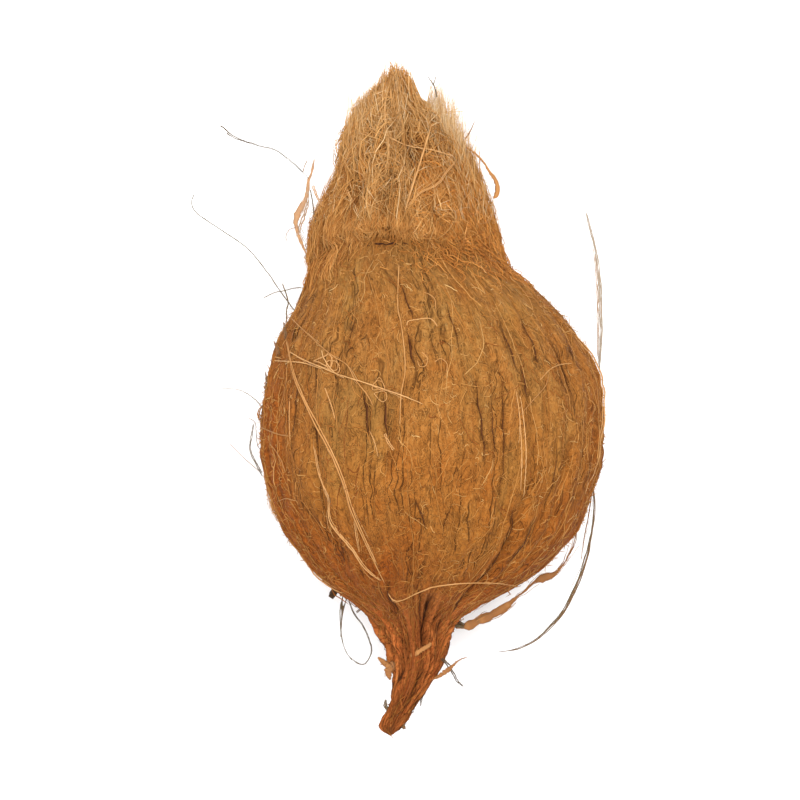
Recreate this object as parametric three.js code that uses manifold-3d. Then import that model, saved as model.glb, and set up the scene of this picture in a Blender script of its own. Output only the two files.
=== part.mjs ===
// A coconut stripped of its husk, but for a bristling tuft over the eyes and a twisted tail at the tip.
// Millimetres. The nut lies on its side: +Y runs from the tail to the tuft, +Z is up, and the origin is
// the centre of the small flat spot that it rests on.

import * as THREE from "three";
import { mergeVertices } from "three/addons/utils/BufferGeometryUtils.js";
import Module from "manifold-3d";

const wasm = await Module();
wasm.setup();

// ---------------------------------------------------------------- driving dimensions

// A row is one section of a body: its place along Y, then its left, right, top and bottom there.
// The nut and its tail are one body, from the nut's end inside the tuft to the tail's tip.
const NUT_ROWS = [
  [63, -8, -8, 58, 58],
  [61.4, -24, 8, 78, 40],
  [57.4, -32, 16, 88, 31.4],
  [50, -38, 24.8, 96.5, 21.6],
  [40, -41.6, 36.4, 103, 12.4],
  [27, -48.6, 47.4, 108, 4.4],
  [14, -52.2, 53.3, 110, 0.2],
  [1, -54.2, 54.6, 110.2, -0.9],
  [-12, -54, 54, 108.4, 0.9],
  [-24, -51.4, 50.2, 104, 5.2],
  [-34, -46.4, 45.8, 97.8, 11],
  [-44, -39, 36.8, 89.6, 19],
  [-52, -31.4, 25.4, 80.6, 28],
  [-58, -22.8, 15, 73, 36],
  [-63, -17.2, 8.4, 67, 42],
  [-69, -13.8, 5.4, 63.4, 45.4],
  [-76, -11.8, 3.4, 61.4, 46.8],
  [-83, -12, -0.6, 60, 48],
  [-90, -13.6, -5.2, 58, 49],
  [-96.5, -16, -9, 56, 49.6],
  [-99.8, -13, -13, 52.6, 52.6],
];
const NUT_AROUND = 68;
const NUT_ALONG = 32;
const NUT_GRAIN_FADES = [34, 8]; // the nut's grain dies out as its half width falls between these
const RIBS = { count: 3, height: 0.7, turned: 1.2 }; // the three broad ribs of the shell
const LUMPS = { height: 0.35, around: 2, pitch: 11, drift: 17 };

// Ridges of fibre from end to end: how many round the nut, their height, and how they sway along Y.
const RIDGES = [
  { count: 13, height: 0.32, sway: 1.4, pitch: 19, phase: 0 },
  { count: 23, height: 0.3, sway: 1.1, pitch: 11, phase: 2 },
  { count: 34, height: 0.26, sway: 0.9, pitch: 7, phase: 4 },
];

// Thick strands that wind down the tail: how many, their height, and how fast they turn along Y.
const TAIL_STRANDS = [
  { count: 5, height: 0.9, turn: 0.125, phase: 0 },
  { count: 8, height: 0.6, turn: -0.0625, phase: 1.5 },
  { count: 13, height: 0.4, turn: 0.0625, phase: 0 },
];
const TAIL_FROM = [46, 64]; // the strands grow between these distances along -Y
const TAIL_TIP_WIDTH = 6; // and die out where the tail is narrower than this

// Short fibres that lift off the nut: where they start and how far they run, as shares of its length, then
// their lean round it, their heights over the skin, and what they keep clear of.
const WISPS = {
  count: 70,
  from: 0.14,
  to: 0.7,
  run: 0.03,
  runDown: 0.6,
  lean: 0.16,
  sunk: 1,
  arch: 0.9,
  tip: [0.4, 2.6],
  size: 0.55,
  lowest: 6,
  furthest: 42,
};
const BEAD = { height: 1.3, length: 0.035 }; // a lump of pith on a strip
const SHRED_TAPER = 0.45;

// The core of the tuft, from its tip to its end inside the nut.
const TUFT_ROWS = [
  [108.5, -11, -11, 56, 56],
  [105.5, -18.4, -5.4, 62, 49],
  [98, -24.2, 3.4, 69, 42],
  [89, -28.4, 10.5, 76, 35],
  [78, -32, 15, 81.5, 29.5],
  [66, -37, 19.6, 85.5, 25.5],
  [57, -39.4, 22, 87, 23.5],
  [49, -39.4, 24.5, 87, 23],
  [41, -32, 17, 80, 30],
  [37, -8, -8, 56, 56],
];
const TUFT_AROUND = 36;
const TUFT_ALONG = 16;

const REST_CLEAR = [8, 17]; // the grain fades in between these distances from the spot's centre
const GAP = 0.35; // between the tuft and the nut

// Lobes of husk round the core, which grow between two places along Y, and the ridges along them.
const LOBES = { count: 5, height: 2.2, phase: 0.6, pitch: 60, from: 52, to: 76 };
const HUSK_RIDGES = [
  { count: 9, height: 0.8, pitch: 14 },
  { count: 16, height: 0.6, pitch: -10 },
];
const HUSK_SUNK = 1; // the core's surface lies this far inside its rows

// Bristles: where they start as shares of the core's length, how far inside it, their length and half width,
// how they lean out and sway, and the places along Y between which they turn to their peak.
const BRISTLES = {
  count: 160,
  from: 0.08,
  over: 0.74,
  crowding: 0.9,
  stagger: 0.3,
  sunk: 2,
  ahead: 0.12,
  length: [15, 33],
  size: [0.9, 1.6],
  thickness: [0.6, 1],
  taper: 0.35,
  lean: [0.05, 0.24],
  sway: 0.2,
  lift: 0.6,
  turn: [78, 100],
};
const PEAK_DIVIDE = -1; // a bristle to the right of this X mostly joins the right peak
const PEAK_LOYALTY = 0.8;
const MAIN_PEAK = new THREE.Vector3(-10.5, 116, 57);
const RIGHT_PEAK = new THREE.Vector3(4, 108, 62); // the lower, paler one

// Long furrows down the nut: the angle round its axis, where each starts and ends along Y, and its depth.
const FURROWS = [
  { angle: 1.83, from: 18, to: -16, depth: 1.3 },
  { angle: 1.72, from: 14, to: -6, depth: 1 },
  { angle: 1.34, from: 26, to: -22, depth: 1.1 },
  { angle: 0.98, from: 34, to: -6, depth: 1.2 },
  { angle: 0.98, from: -26, to: -56, depth: 1.6 },
  { angle: 0.72, from: 4, to: -46, depth: 1.2 },
  { angle: 2.3, from: 0, to: -42, depth: 1 },
  { angle: 0.1, from: 30, to: -30, depth: 1.1 },
  { angle: 3.3, from: 26, to: -34, depth: 1.1 },
  { angle: 4.1, from: 38, to: 6, depth: 1.2 },
  { angle: 4.3, from: -20, to: -54, depth: 1.4 },
  { angle: 5.2, from: 30, to: -10, depth: 1.2 },
  { angle: 5.7, from: -8, to: -50, depth: 1.3 },
];
const FURROW_WIDTH = 2.6;
const FURROW_END = 5; // how gently a furrow starts and ends

const GOLDEN_ANGLE = Math.PI * (3 - Math.sqrt(5)); // spreads fibres evenly round a body

// ---------------------------------------------------------------- shared tools

// Random numbers from 0 to 1 that are the same each time.
function seeded(seed) {
  let state = seed;
  return () => {
    state = (state + 0x6d2b79f5) | 0;
    let t = Math.imul(state ^ (state >>> 15), 1 | state);
    t = (t + Math.imul(t ^ (t >>> 7), 61 | t)) ^ t;
    return ((t ^ (t >>> 14)) >>> 0) / 4294967296;
  };
}

const between = (random, low, high) => low + (high - low) * random();

// The section at a share from 0 to 1 of the way down the rows, on a smooth curve through them.
function sectionAt(rows, share) {
  const place = THREE.MathUtils.clamp(share, 0, 1) * (rows.length - 1);
  const i = Math.min(Math.floor(place), rows.length - 2);
  const t = place - i;
  const row = (k) => rows[THREE.MathUtils.clamp(k, 0, rows.length - 1)];
  const [before, from, to, after] = [row(i - 1), row(i), row(i + 1), row(i + 2)];
  const [y, left, right, top, bottom] = from.map((start, k) => {
    const out = (to[k] - before[k]) / 2;
    const into = (after[k] - start) / 2;
    const bend = 3 * (to[k] - start) - 2 * out - into;
    const turn = 2 * (start - to[k]) + out + into;
    return start + out * t + bend * t * t + turn * t * t * t;
  });
  return {
    y,
    x: (left + right) / 2,
    z: (top + bottom) / 2,
    wide: Math.max((right - left) / 2, 0),
    high: Math.max((top - bottom) / 2, 0),
  };
}

// A point on a body of rows, lifted off its smooth surface by relief(angle, section).
function onBody(rows, share, angle, relief) {
  const s = sectionAt(rows, share);
  const lift = 1 + relief(angle, s) / Math.max((s.wide + s.high) / 2, 1);
  return new THREE.Vector3(
    s.x + s.wide * lift * Math.cos(angle),
    s.y,
    s.z + s.high * lift * Math.sin(angle),
  );
}

// A closed body of rows: a sphere whose poles are the first and last row.
function bodyGeometry(rows, around, along, relief) {
  const sphere = new THREE.SphereGeometry(1, around, along);
  const at = sphere.attributes.position;
  for (let i = 0; i < at.count; i++) {
    const share = Math.acos(THREE.MathUtils.clamp(at.getY(i), -1, 1)) / Math.PI;
    const angle = Math.atan2(at.getZ(i), at.getX(i));
    at.setXYZ(i, ...onBody(rows, share, angle, relief));
  }
  return welded(sphere);
}

function welded(geometry) {
  geometry.deleteAttribute("normal");
  geometry.deleteAttribute("uv");
  return mergeVertices(geometry, 1e-3);
}

// A round or flattened fibre along a curve, thinning to a point. size(t) gives its half width, and flat its
// thickness as a share of that.
function fibreGeometry(curve, size, sides, steps, flat = 1) {
  const cone = new THREE.ConeGeometry(1, 1, sides, steps);
  const { normals, binormals } = curve.computeFrenetFrames(steps);
  const at = cone.attributes.position;
  for (let i = 0; i < at.count; i++) {
    const t = at.getY(i) + 0.5;
    const step = Math.round(t * steps);
    const side = new THREE.Vector2(at.getX(i), at.getZ(i));
    const reach = side.length() > 1e-6 ? size(t) : 0;
    side.normalize().multiplyScalar(reach);
    const spot = curve
      .getPointAt(t)
      .addScaledVector(normals[step], side.x)
      .addScaledVector(binormals[step], -side.y * flat);
    at.setXYZ(i, ...spot);
  }
  return welded(cone);
}

function solid(geometry) {
  return new wasm.Manifold(
    new wasm.Mesh({
      numProp: 3,
      vertProperties: geometry.attributes.position.array,
      triVerts: new Uint32Array(geometry.index.array),
    }),
  );
}

// The largest body of a solid, so that no loose scrap is left.
function main(made) {
  return made.decompose().sort((a, b) => b.volume() - a.volume())[0];
}

function meshOf(made, name, material) {
  const { vertProperties, triVerts, numProp } = made.getMesh();
  const geometry = new THREE.BufferGeometry();
  const places = new Float32Array((vertProperties.length / numProp) * 3);
  for (let i = 0; i < places.length / 3; i++) {
    places.set(vertProperties.subarray(i * numProp, i * numProp + 3), i * 3);
  }
  geometry.setAttribute("position", new THREE.BufferAttribute(places, 3));
  geometry.setIndex(new THREE.BufferAttribute(triVerts, 1));
  geometry.computeVertexNormals();
  const mesh = new THREE.Mesh(geometry, material);
  mesh.name = name;
  return mesh;
}

// ---------------------------------------------------------------- the nut with its tail

const smooth = THREE.MathUtils.smoothstep;

// How much of the grain there is at a point: none on the spot that the nut rests on.
function grainShare(angle, section) {
  const x = section.x + section.wide * Math.cos(angle);
  const under = Math.sin(angle) < 0 ? Math.hypot(x, section.y) : Infinity;
  return smooth(under, ...REST_CLEAR);
}

function furrowDepth(angle, section) {
  const girth = (section.wide + section.high) / 2;
  return FURROWS.reduce((sum, f) => {
    const apart = Math.atan2(Math.sin(angle - f.angle), Math.cos(angle - f.angle)) * girth;
    const past = (end) => smooth(section.y, end - FURROW_END, end + FURROW_END);
    const along = past(f.to) - past(f.from);
    return sum + f.depth * along * Math.exp(-((apart / FURROW_WIDTH) ** 2));
  }, 0);
}

// The nut's ribs, lumps, ridges and furrows, and the strands that wind down its tail.
function nutRelief(angle, section) {
  const { y, wide } = section;
  const ribs = RIBS.height * Math.cos(RIBS.count * angle - RIBS.turned);
  const lumps =
    LUMPS.height * Math.sin(LUMPS.around * angle + y / LUMPS.pitch) * Math.sin(y / LUMPS.drift + angle);
  const ridges = RIDGES.reduce((sum, r) => {
    const sway = r.sway * Math.sin(y / r.pitch + r.phase);
    return sum + r.height * Math.sin(r.count * angle + sway);
  }, 0);
  const [full, none] = NUT_GRAIN_FADES;
  const body = (ribs + lumps + ridges - furrowDepth(angle, section)) * smooth(wide, none, full);
  const strands = TAIL_STRANDS.reduce(
    (sum, strand) => sum + strand.height * Math.sin(strand.count * angle + strand.turn * y + strand.phase),
    0,
  );
  const tail = strands * smooth(-y, ...TAIL_FROM) * smooth(wide, 0, TAIL_TIP_WIDTH);
  return (body + tail) * grainShare(angle, section);
}

// The nut's surface at x, y on the side that faces up, raised by lift.
function onNut(x, y, lift) {
  let [low, high] = [0.1, 1];
  for (let k = 0; k < 30; k++) {
    const middle = (low + high) / 2;
    if (sectionAt(NUT_ROWS, middle).y > y) low = middle;
    else high = middle;
  }
  const s = sectionAt(NUT_ROWS, low);
  const across = THREE.MathUtils.clamp((x - s.x) / s.wide, -1, 1);
  return [x, y, s.z + s.high * Math.sqrt(1 - across * across) + lift];
}

const pathOf = (points) => new THREE.CatmullRomCurve3(points.map((p) => new THREE.Vector3(...p)));

// Loose fibres and shreds that hang off the nut and its tail. Each is a path from its root, its half width
// at the root and how flat it is; lumps are beads of pith on it, as shares of the way along.
const NUT_SHREDS = [
  {
    // a flat pale strand that lies down the nut's left side
    path: [
      onNut(-47, 30, -1.2),
      onNut(-44, 22, 0),
      onNut(-38.6, 8, 0.2),
      onNut(-29, -11, 0.2),
      onNut(-21, -30, 0.2),
      onNut(-14, -47, 0),
      onNut(-11.5, -53, -1.4),
    ],
    size: 0.95,
    flat: 0.7,
    steps: 12,
  },
  {
    // a hair that crosses the nut and curls out past its left shoulder
    path: [
      onNut(-3, 7.6, -1),
      onNut(-18, 13, 0.1),
      onNut(-32, 25, 0.1),
      [-45, 37, 68],
      [-50.5, 45, 66],
      [-58, 55, 63],
      [-67, 63, 60],
      [-75, 68.5, 57],
      [-76.3, 72.4, 56],
    ],
    size: 0.45,
    steps: 14,
  },
  {
    // a loop under the nut's lower left
    path: [
      [-25, -53, 50],
      [-27.5, -58, 47],
      [-21, -66, 42],
      [-19, -74, 38],
      [-22.4, -78, 36],
      [-26, -75.4, 35],
    ],
    size: 0.5,
    steps: 10,
  },
  {
    // a strip of pith, knotted like a string of beads, from the tail back to the nut's right side
    path: [
      [2, -64, 56],
      [10, -64.6, 53],
      [17, -62.6, 51],
      [25, -58.4, 49.5],
      [33, -52.4, 48],
      [40, -48.6, 47.5],
      [46, -41, 47.5],
      [49.4, -33, 49],
      [49.6, -24, 51],
    ],
    size: 1.1,
    steps: 16,
    lumps: [0.16, 0.28, 0.4, 0.62],
  },
  {
    // a long hair that arcs out from the right side
    path: [
      [51.5, -14, 50],
      [54, -24, 49],
      [53.4, -34, 46],
      [50.6, -46, 42],
      [44.4, -59.4, 36],
      [34.6, -70.6, 30],
      [22.4, -74.8, 26],
    ],
    size: 0.6,
    steps: 12,
  },
  {
    // a hair that stands up along the right side
    path: [
      [50.4, 12, 60],
      [52.6, 22, 60.5],
      [53, 34, 61],
      [52.4, 50, 62],
      [48.6, 68.6, 63],
    ],
    size: 0.42,
    steps: 8,
  },
  {
    // short ends that stick out of the tail
    path: [
      [0, -72, 56],
      [6, -76.5, 54],
      [10.4, -84.6, 50],
    ],
    size: 0.7,
    steps: 4,
  },
  {
    path: [
      [-2, -80, 56],
      [5, -79, 55],
      [11, -73.8, 53],
    ],
    size: 1,
    flat: 0.6,
    steps: 4,
  },
  {
    path: [
      [-10, -76, 56],
      [-14.6, -78.6, 57],
      [-15.6, -73.6, 58],
    ],
    size: 1.5,
    flat: 0.5,
    steps: 4,
  },
  {
    path: [
      [-25, -50, 52],
      [-29.6, -55, 49],
      [-29, -63, 44],
    ],
    size: 0.9,
    steps: 4,
  },
];

// Short wisps that lift off the nut all over: each starts in the surface and leans along the grain.
function wisps(random) {
  const { from, to, run, lean } = WISPS;
  return Array.from({ length: WISPS.count }, (_, i) => {
    const share = between(random, from, to);
    const angle = i * GOLDEN_ANGLE + between(random, -0.2, 0.2);
    const root = onBody(NUT_ROWS, share, angle, () => -WISPS.sunk);
    const down = random() < WISPS.runDown ? run : -run;
    const turn = between(random, -lean, lean);
    const middle = onBody(NUT_ROWS, share + down, angle + turn / 2, () => WISPS.arch);
    const tip = onBody(NUT_ROWS, share + 2 * down, angle + turn, () => between(random, ...WISPS.tip));
    const low = Math.min(root.z, middle.z, tip.z) < WISPS.lowest;
    const far = Math.max(root.y, tip.y) > WISPS.furthest;
    if (low || far) return null;
    return fibreGeometry(new THREE.QuadraticBezierCurve3(root, middle, tip), () => WISPS.size, 3, 2);
  }).filter(Boolean);
}

function shred({ path, size, flat = 1, steps, lumps = [] }) {
  const width = (t) => {
    const beads = lumps.map((at) => BEAD.height * Math.exp(-(((t - at) / BEAD.length) ** 2)));
    return beads.reduce((sum, bead) => sum + bead, size * (1 - SHRED_TAPER * t ** 3));
  };
  return solid(fibreGeometry(pathOf(path), width, 4, steps, flat));
}

function nutBody(grown) {
  const geometry = bodyGeometry(NUT_ROWS, NUT_AROUND, NUT_ALONG, nutRelief);
  geometry.computeVertexNormals();
  const { position, normal } = geometry.attributes;
  for (let i = 0; i < position.count; i++) {
    const out = new THREE.Vector3().fromBufferAttribute(normal, i).multiplyScalar(grown);
    position.setXYZ(i, ...out.add(new THREE.Vector3().fromBufferAttribute(position, i)));
  }
  geometry.deleteAttribute("normal");
  return solid(geometry);
}

function aboveSurface(made) {
  const block = welded(new THREE.BoxGeometry(400, 400, 400).toNonIndexed().translate(0, 0, 200));
  return made.intersect(solid(block));
}

function makeNut() {
  const shreds = NUT_SHREDS.map(shred);
  const hairs = wisps(seeded(11)).map(solid);
  return main(aboveSurface(wasm.Manifold.union([nutBody(0), ...shreds, ...hairs])));
}

// ---------------------------------------------------------------- the tuft of husk

// The lobes of husk, split by clefts, with coarse ridges along them.
function tuftRelief(angle, section) {
  const { y } = section;
  const lobes = LOBES.height * Math.cos(LOBES.count * angle + LOBES.phase + y / LOBES.pitch);
  const ridges = HUSK_RIDGES.reduce((sum, r) => sum + r.height * Math.sin(r.count * angle + y / r.pitch), 0);
  return lobes * smooth(y, LOBES.from, LOBES.to) + ridges - HUSK_SUNK;
}

// A bristle: a bundle of fibres that starts in the core, leans out a little and runs on towards its peak.
function bristle(random, i) {
  const share = BRISTLES.from + BRISTLES.over * (i / BRISTLES.count) ** BRISTLES.crowding;
  const angle = i * GOLDEN_ANGLE + between(random, -BRISTLES.stagger, BRISTLES.stagger);
  const surface = onBody(TUFT_ROWS, share, angle, tuftRelief);
  const section = sectionAt(TUFT_ROWS, share);
  const out = new THREE.Vector3(
    Math.cos(angle) / Math.max(section.wide, 1),
    0,
    Math.sin(angle) / Math.max(section.high, 1),
  ).normalize();
  const peak = surface.x > PEAK_DIVIDE && random() < PEAK_LOYALTY ? RIGHT_PEAK : MAIN_PEAK;
  const ahead = onBody(TUFT_ROWS, Math.max(share - BRISTLES.ahead, 0), angle, tuftRelief);
  const along = ahead.sub(surface).normalize();
  const toPeak = peak.clone().sub(surface);
  const length = Math.min(between(random, ...BRISTLES.length), toPeak.length() + 1);
  const pull = smooth(section.y, ...BRISTLES.turn);
  along.lerp(toPeak.normalize(), 0.25 + 0.7 * pull).normalize();
  const across = new THREE.Vector3().crossVectors(along, out).normalize();
  const lean = between(random, ...BRISTLES.lean) * (1 - 0.8 * pull);
  const sway = between(random, -BRISTLES.sway, BRISTLES.sway) * (1 - 0.7 * pull);
  const root = surface.clone().addScaledVector(out, -BRISTLES.sunk);
  const middle = surface
    .clone()
    .addScaledVector(along, length / 2)
    .addScaledVector(out, BRISTLES.lift + (lean * length) / 2);
  const tip = surface
    .clone()
    .addScaledVector(along, length)
    .addScaledVector(out, lean * length)
    .addScaledVector(across, sway * length);
  const size = between(random, ...BRISTLES.size);
  const flat = between(random, ...BRISTLES.thickness);
  const curve = new THREE.QuadraticBezierCurve3(root, middle, tip);
  return fibreGeometry(curve, (t) => size * (1 - BRISTLES.taper * t), 3, 2, flat);
}

const TUFT_SHREDS = [
  {
    // a frayed strip beside the left edge, held at both ends
    path: [
      [-33, 76, 60],
      [-37.5, 80.6, 62],
      [-39.8, 72, 63],
      [-42.4, 63, 63],
      [-41.4, 57.6, 62],
      [-36, 53, 60],
    ],
    size: 1,
    flat: 0.6,
    steps: 10,
  },
  {
    // the hair that reaches out furthest on the left
    path: [
      [-34, 73, 60],
      [-38, 77.6, 62],
      [-43, 82, 64],
      [-52, 86, 66],
      [-60, 89.6, 67],
      [-67, 94.6, 68],
    ],
    size: 0.5,
    steps: 9,
  },
  {
    // a curl on the right edge
    path: [
      [11, 87.6, 62],
      [16, 85, 64],
      [20.4, 79.6, 65],
      [21.4, 75.4, 65],
      [19.6, 72.6, 64],
    ],
    size: 0.7,
    steps: 8,
  },
];

function makeTuft() {
  const random = seeded(5);
  const core = solid(bodyGeometry(TUFT_ROWS, TUFT_AROUND, TUFT_ALONG, tuftRelief));
  const bristles = Array.from({ length: BRISTLES.count }, (_, i) => solid(bristle(random, i)));
  const whole = wasm.Manifold.union([core, ...bristles, ...TUFT_SHREDS.map(shred)]);
  return main(whole.subtract(nutBody(GAP)));
}

// ---------------------------------------------------------------- the coconut

const coirBrown = new THREE.MeshStandardMaterial({ color: "#a96c35", roughness: 0.9, metalness: 0 });
const straw = new THREE.MeshStandardMaterial({ color: "#b98549", roughness: 0.9, metalness: 0 });

const coconut = new THREE.Group();
coconut.name = "coconut";
coconut.add(meshOf(makeNut(), "nut", coirBrown));
coconut.add(meshOf(makeTuft(), "husk_tuft", straw));

export default coconut;
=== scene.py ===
"""The looks of a husked coconut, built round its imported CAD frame: coir skin and matted fibre over the nut, a
twisted tail, a bristling tuft of husk, and the loose strands that hang off them. Blender 4.5. Lengths are in
millimetres until a mesh is made."""

import collections
import itertools
import math

import bpy
import numpy as np
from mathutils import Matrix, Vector
from mathutils.bvhtree import BVHTree


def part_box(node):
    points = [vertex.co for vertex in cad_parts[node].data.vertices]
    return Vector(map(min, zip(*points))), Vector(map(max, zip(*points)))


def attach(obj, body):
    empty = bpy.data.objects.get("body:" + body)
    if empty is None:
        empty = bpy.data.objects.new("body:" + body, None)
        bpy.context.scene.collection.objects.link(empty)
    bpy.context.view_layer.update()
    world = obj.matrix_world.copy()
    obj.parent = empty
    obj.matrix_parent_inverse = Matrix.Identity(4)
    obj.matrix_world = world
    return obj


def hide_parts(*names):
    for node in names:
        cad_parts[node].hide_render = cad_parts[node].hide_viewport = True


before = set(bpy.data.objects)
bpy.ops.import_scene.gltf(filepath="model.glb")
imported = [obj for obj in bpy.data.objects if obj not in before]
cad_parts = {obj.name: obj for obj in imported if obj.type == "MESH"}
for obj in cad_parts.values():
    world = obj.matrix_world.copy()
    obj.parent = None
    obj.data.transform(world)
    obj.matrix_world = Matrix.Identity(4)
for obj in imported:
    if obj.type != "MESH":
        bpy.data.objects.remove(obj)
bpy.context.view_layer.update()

MM = 0.001
TAU = 2 * math.pi
FAN = math.pi * (3 - math.sqrt(5))  # the golden angle, which spreads things evenly
UP = np.array([0.0, 0, 1])
COIR, HUSK = "coir_brown", "husk_straw"  # two names that the pieces are passed with

# ---------------------------------------------------------------- the two bodies, as in the CAD source

# A row is one section of a body: its place along Y, then its left, right, top and bottom there.
NUT_ROWS = [
    (63, -8, -8, 58, 58),
    (61.4, -24, 8, 78, 40),
    (57.4, -32, 16, 88, 31.4),
    (50, -38, 24.8, 96.5, 21.6),
    (40, -41.6, 36.4, 103, 12.4),
    (27, -48.6, 47.4, 108, 4.4),
    (14, -52.2, 53.3, 110, 0.2),
    (1, -54.2, 54.6, 110.2, -0.9),
    (-12, -54, 54, 108.4, 0.9),
    (-24, -51.4, 50.2, 104, 5.2),
    (-34, -46.4, 45.8, 97.8, 11),
    (-44, -39, 36.8, 89.6, 19),
    (-52, -31.4, 25.4, 80.6, 28),
    (-58, -22.8, 15, 73, 36),
    (-63, -17.2, 8.4, 67, 42),
    (-69, -13.8, 5.4, 63.4, 45.4),
    (-76, -11.8, 3.4, 61.4, 46.8),
    (-83, -12, -0.6, 60, 48),
    (-90, -13.6, -5.2, 58, 49),
    (-96.5, -16, -9, 56, 49.6),
    (-99.8, -13, -13, 52.6, 52.6),
]
TUFT_ROWS = [
    (108.5, -11, -11, 56, 56),
    (105.5, -18.4, -5.4, 62, 49),
    (98, -24.2, 3.4, 69, 42),
    (89, -28.4, 10.5, 76, 35),
    (78, -32, 15, 81.5, 29.5),
    (66, -37, 19.6, 85.5, 25.5),
    (57, -39.4, 22, 87, 23.5),
    (49, -39.4, 24.5, 87, 23),
    (41, -32, 17, 80, 30),
    (37, -8, -8, 56, 56),
]
# Long furrows down the nut: angle round its axis, start and end along Y, and depth.
FURROWS = [
    (1.83, 18, -16, 1.3),
    (1.72, 14, -6, 1.0),
    (1.34, 26, -22, 1.1),
    (0.98, 34, -6, 1.2),
    (0.98, -26, -56, 1.6),
    (0.72, 4, -46, 1.2),
    (2.3, 0, -42, 1.0),
    (0.1, 30, -30, 1.1),
    (3.3, 26, -34, 1.1),
    (4.1, 38, 6, 1.2),
    (4.3, -20, -54, 1.4),
    (5.2, 30, -10, 1.2),
    (5.7, -8, -50, 1.3),
]
FURROW_WIDTH = 2.6
# Narrow slits: angle at the start and at the end, the two places along Y, half width and depth.
SLITS = [
    (1.47, 1.3, -53, -71, 1.1, 4.6),
    (1.73, 1.68, 43, 32, 0.8, 0.9),
    (1.72, 1.68, 29, 18, 1.0, 1.0),
    (2.31, 2.3, 1, -8, 0.7, 0.9),
    (1.32, 1.27, 15, -12, 0.8, 0.9),
    (1.06, 1.05, 33, 15, 0.8, 0.9),
    (0.86, 0.88, 34, 17, 0.9, 0.8),
    (1.02, 1.0, 18, 8, 0.8, 1.2),
    (1.95, 2.0, -48, -62, 0.6, 1.2),
    (1.62, 1.5, -50, -64, 0.5, 1.0),
    (0.9, 0.8, -60, -76, 0.6, 1.2),
    (2.2, 2.4, -66, -84, 0.5, 1.0),
    (1.3, 1.2, -76, -90, 0.5, 0.9),
    (1.24, 1.2, 8, -12, 0.6, 0.9),
    (1.16, 1.14, 20, -24, 0.5, 1.0),
    (0.8, 0.78, -4, -26, 0.5, 0.9),
    (1.03, 1.0, -25, -38, 0.85, 1.3),
    (1.0, 1.01, -34, -51, 1.0, 1.3),
    (1.01, 0.87, -49, -60, 0.9, 1.1),
    (0.85, 0.875, -28, -44, 0.95, 1.3),
    (1.995, 1.95, 11, -3, 1.2, 1.4),
    (1.88, 1.84, 9, -4, 1.1, 1.4),
    (0.7, 0.66, 30, 4, 0.5, 0.8),
    (1.42, 1.4, 40, 22, 0.5, 0.8),
    (2.1, 2.12, 36, 24, 0.5, 0.7),
    (2.5, 2.46, 20, -2, 0.5, 0.7),
]
LOOSE_SLITS = 90  # more of them, drawn by seed all round
SMOOTH_SHOULDER = 34  # but none on the upper side beyond this place along Y
REST_CLEAR = (8, 17)  # the grain fades in between these distances from the middle of the flat spot
# How many faces each skin has round it and along it.
NUT_FACES = (296, 334)
TUFT_FACES = (160, 90)

# ---------------------------------------------------------------- numbers and noise

# Whole numbers that scramble a place, an axis and a seed into what looks random.
CELL_PRIMES = np.array([374761393, 668265263, 1274126177], np.int64)
SEED_PRIME, AXIS_PRIME = 7919, 104729
FIRST_FACTOR, SECOND_FACTOR = 2246822519, 3266489917
MASK = 0xFFFFFFFF
NOISE_GAIN = 1.7  # brings noise up to about -1 to 1


def scrambled(key):
    """A number from 0 to 1 for each key, with no pattern to it."""
    key = (key ^ (key >> 15)) * FIRST_FACTOR & MASK
    key = (key ^ (key >> 13)) * SECOND_FACTOR & MASK
    return ((key ^ (key >> 16)) & MASK) / MASK


def noise(points, seed):
    """Smooth gradient noise, about -1 to 1, with features one unit across."""
    cell = np.floor(points).astype(np.int64)
    part = points - cell
    ease = part**3 * (part * (part * 6 - 15) + 10)
    total = np.zeros(points.shape[:-1])
    for corner in itertools.product((0, 1), repeat=3):
        key = (cell + corner) @ CELL_PRIMES + seed * SEED_PRIME & MASK
        slope = np.stack([scrambled(key + axis * AXIS_PRIME) for axis in range(3)], -1) * 2 - 1
        weight = np.prod(np.where(corner, ease, 1 - ease), axis=-1)
        total += weight * (slope * (part - corner)).sum(-1)
    return total * NOISE_GAIN


def noise_at(x, y, z, seed):
    """Noise at places given by their coordinates."""
    return noise(np.stack(np.broadcast_arrays(x, y, z), -1).astype(float), seed)


def noise_vectors(points, seed):
    """Noise along each of the three axes."""
    return np.stack([noise(points, seed + axis) for axis in range(3)], -1)


def smooth(value, low, high):
    """0 below low, 1 above high and eased between them."""
    share = np.clip((value - low) / (high - low), 0, 1)
    return share * share * (3 - 2 * share)


def bell(*ratios):
    """1 in the middle, fading as the ratios pass 1."""
    return np.exp(-sum(ratio**2 for ratio in ratios))


def hump(t):
    """0 at both ends of the way from 0 to 1, and 1 half way."""
    return np.sin(math.pi * t)


def apart(angle, at, girth):
    """How far a place round a body is from the angle at, the short way round."""
    return np.arctan2(np.sin(angle - at), np.cos(angle - at)) * girth


def spots(angle, y, girth, rows):
    """How much of some soft spots is at a place on a body, from 0 to 1."""
    share = 0
    for at, place, half, reach, amount in rows:
        share = share + amount * bell(apart(angle, at, girth) / half, (y - place) / reach)
    return np.clip(share, 0, 1)


def unit(vectors):
    return vectors / np.maximum(np.linalg.norm(vectors, axis=-1, keepdims=True), 1e-9)


# ---------------------------------------------------------------- curves and skins

OUTLINE_POINTS = 600  # on a body's outline before its sections are spaced out
ROUTE_POINTS = 40  # for each point of a strand's route, before it is spaced out
GRAIN_RADIUS = 50


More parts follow.
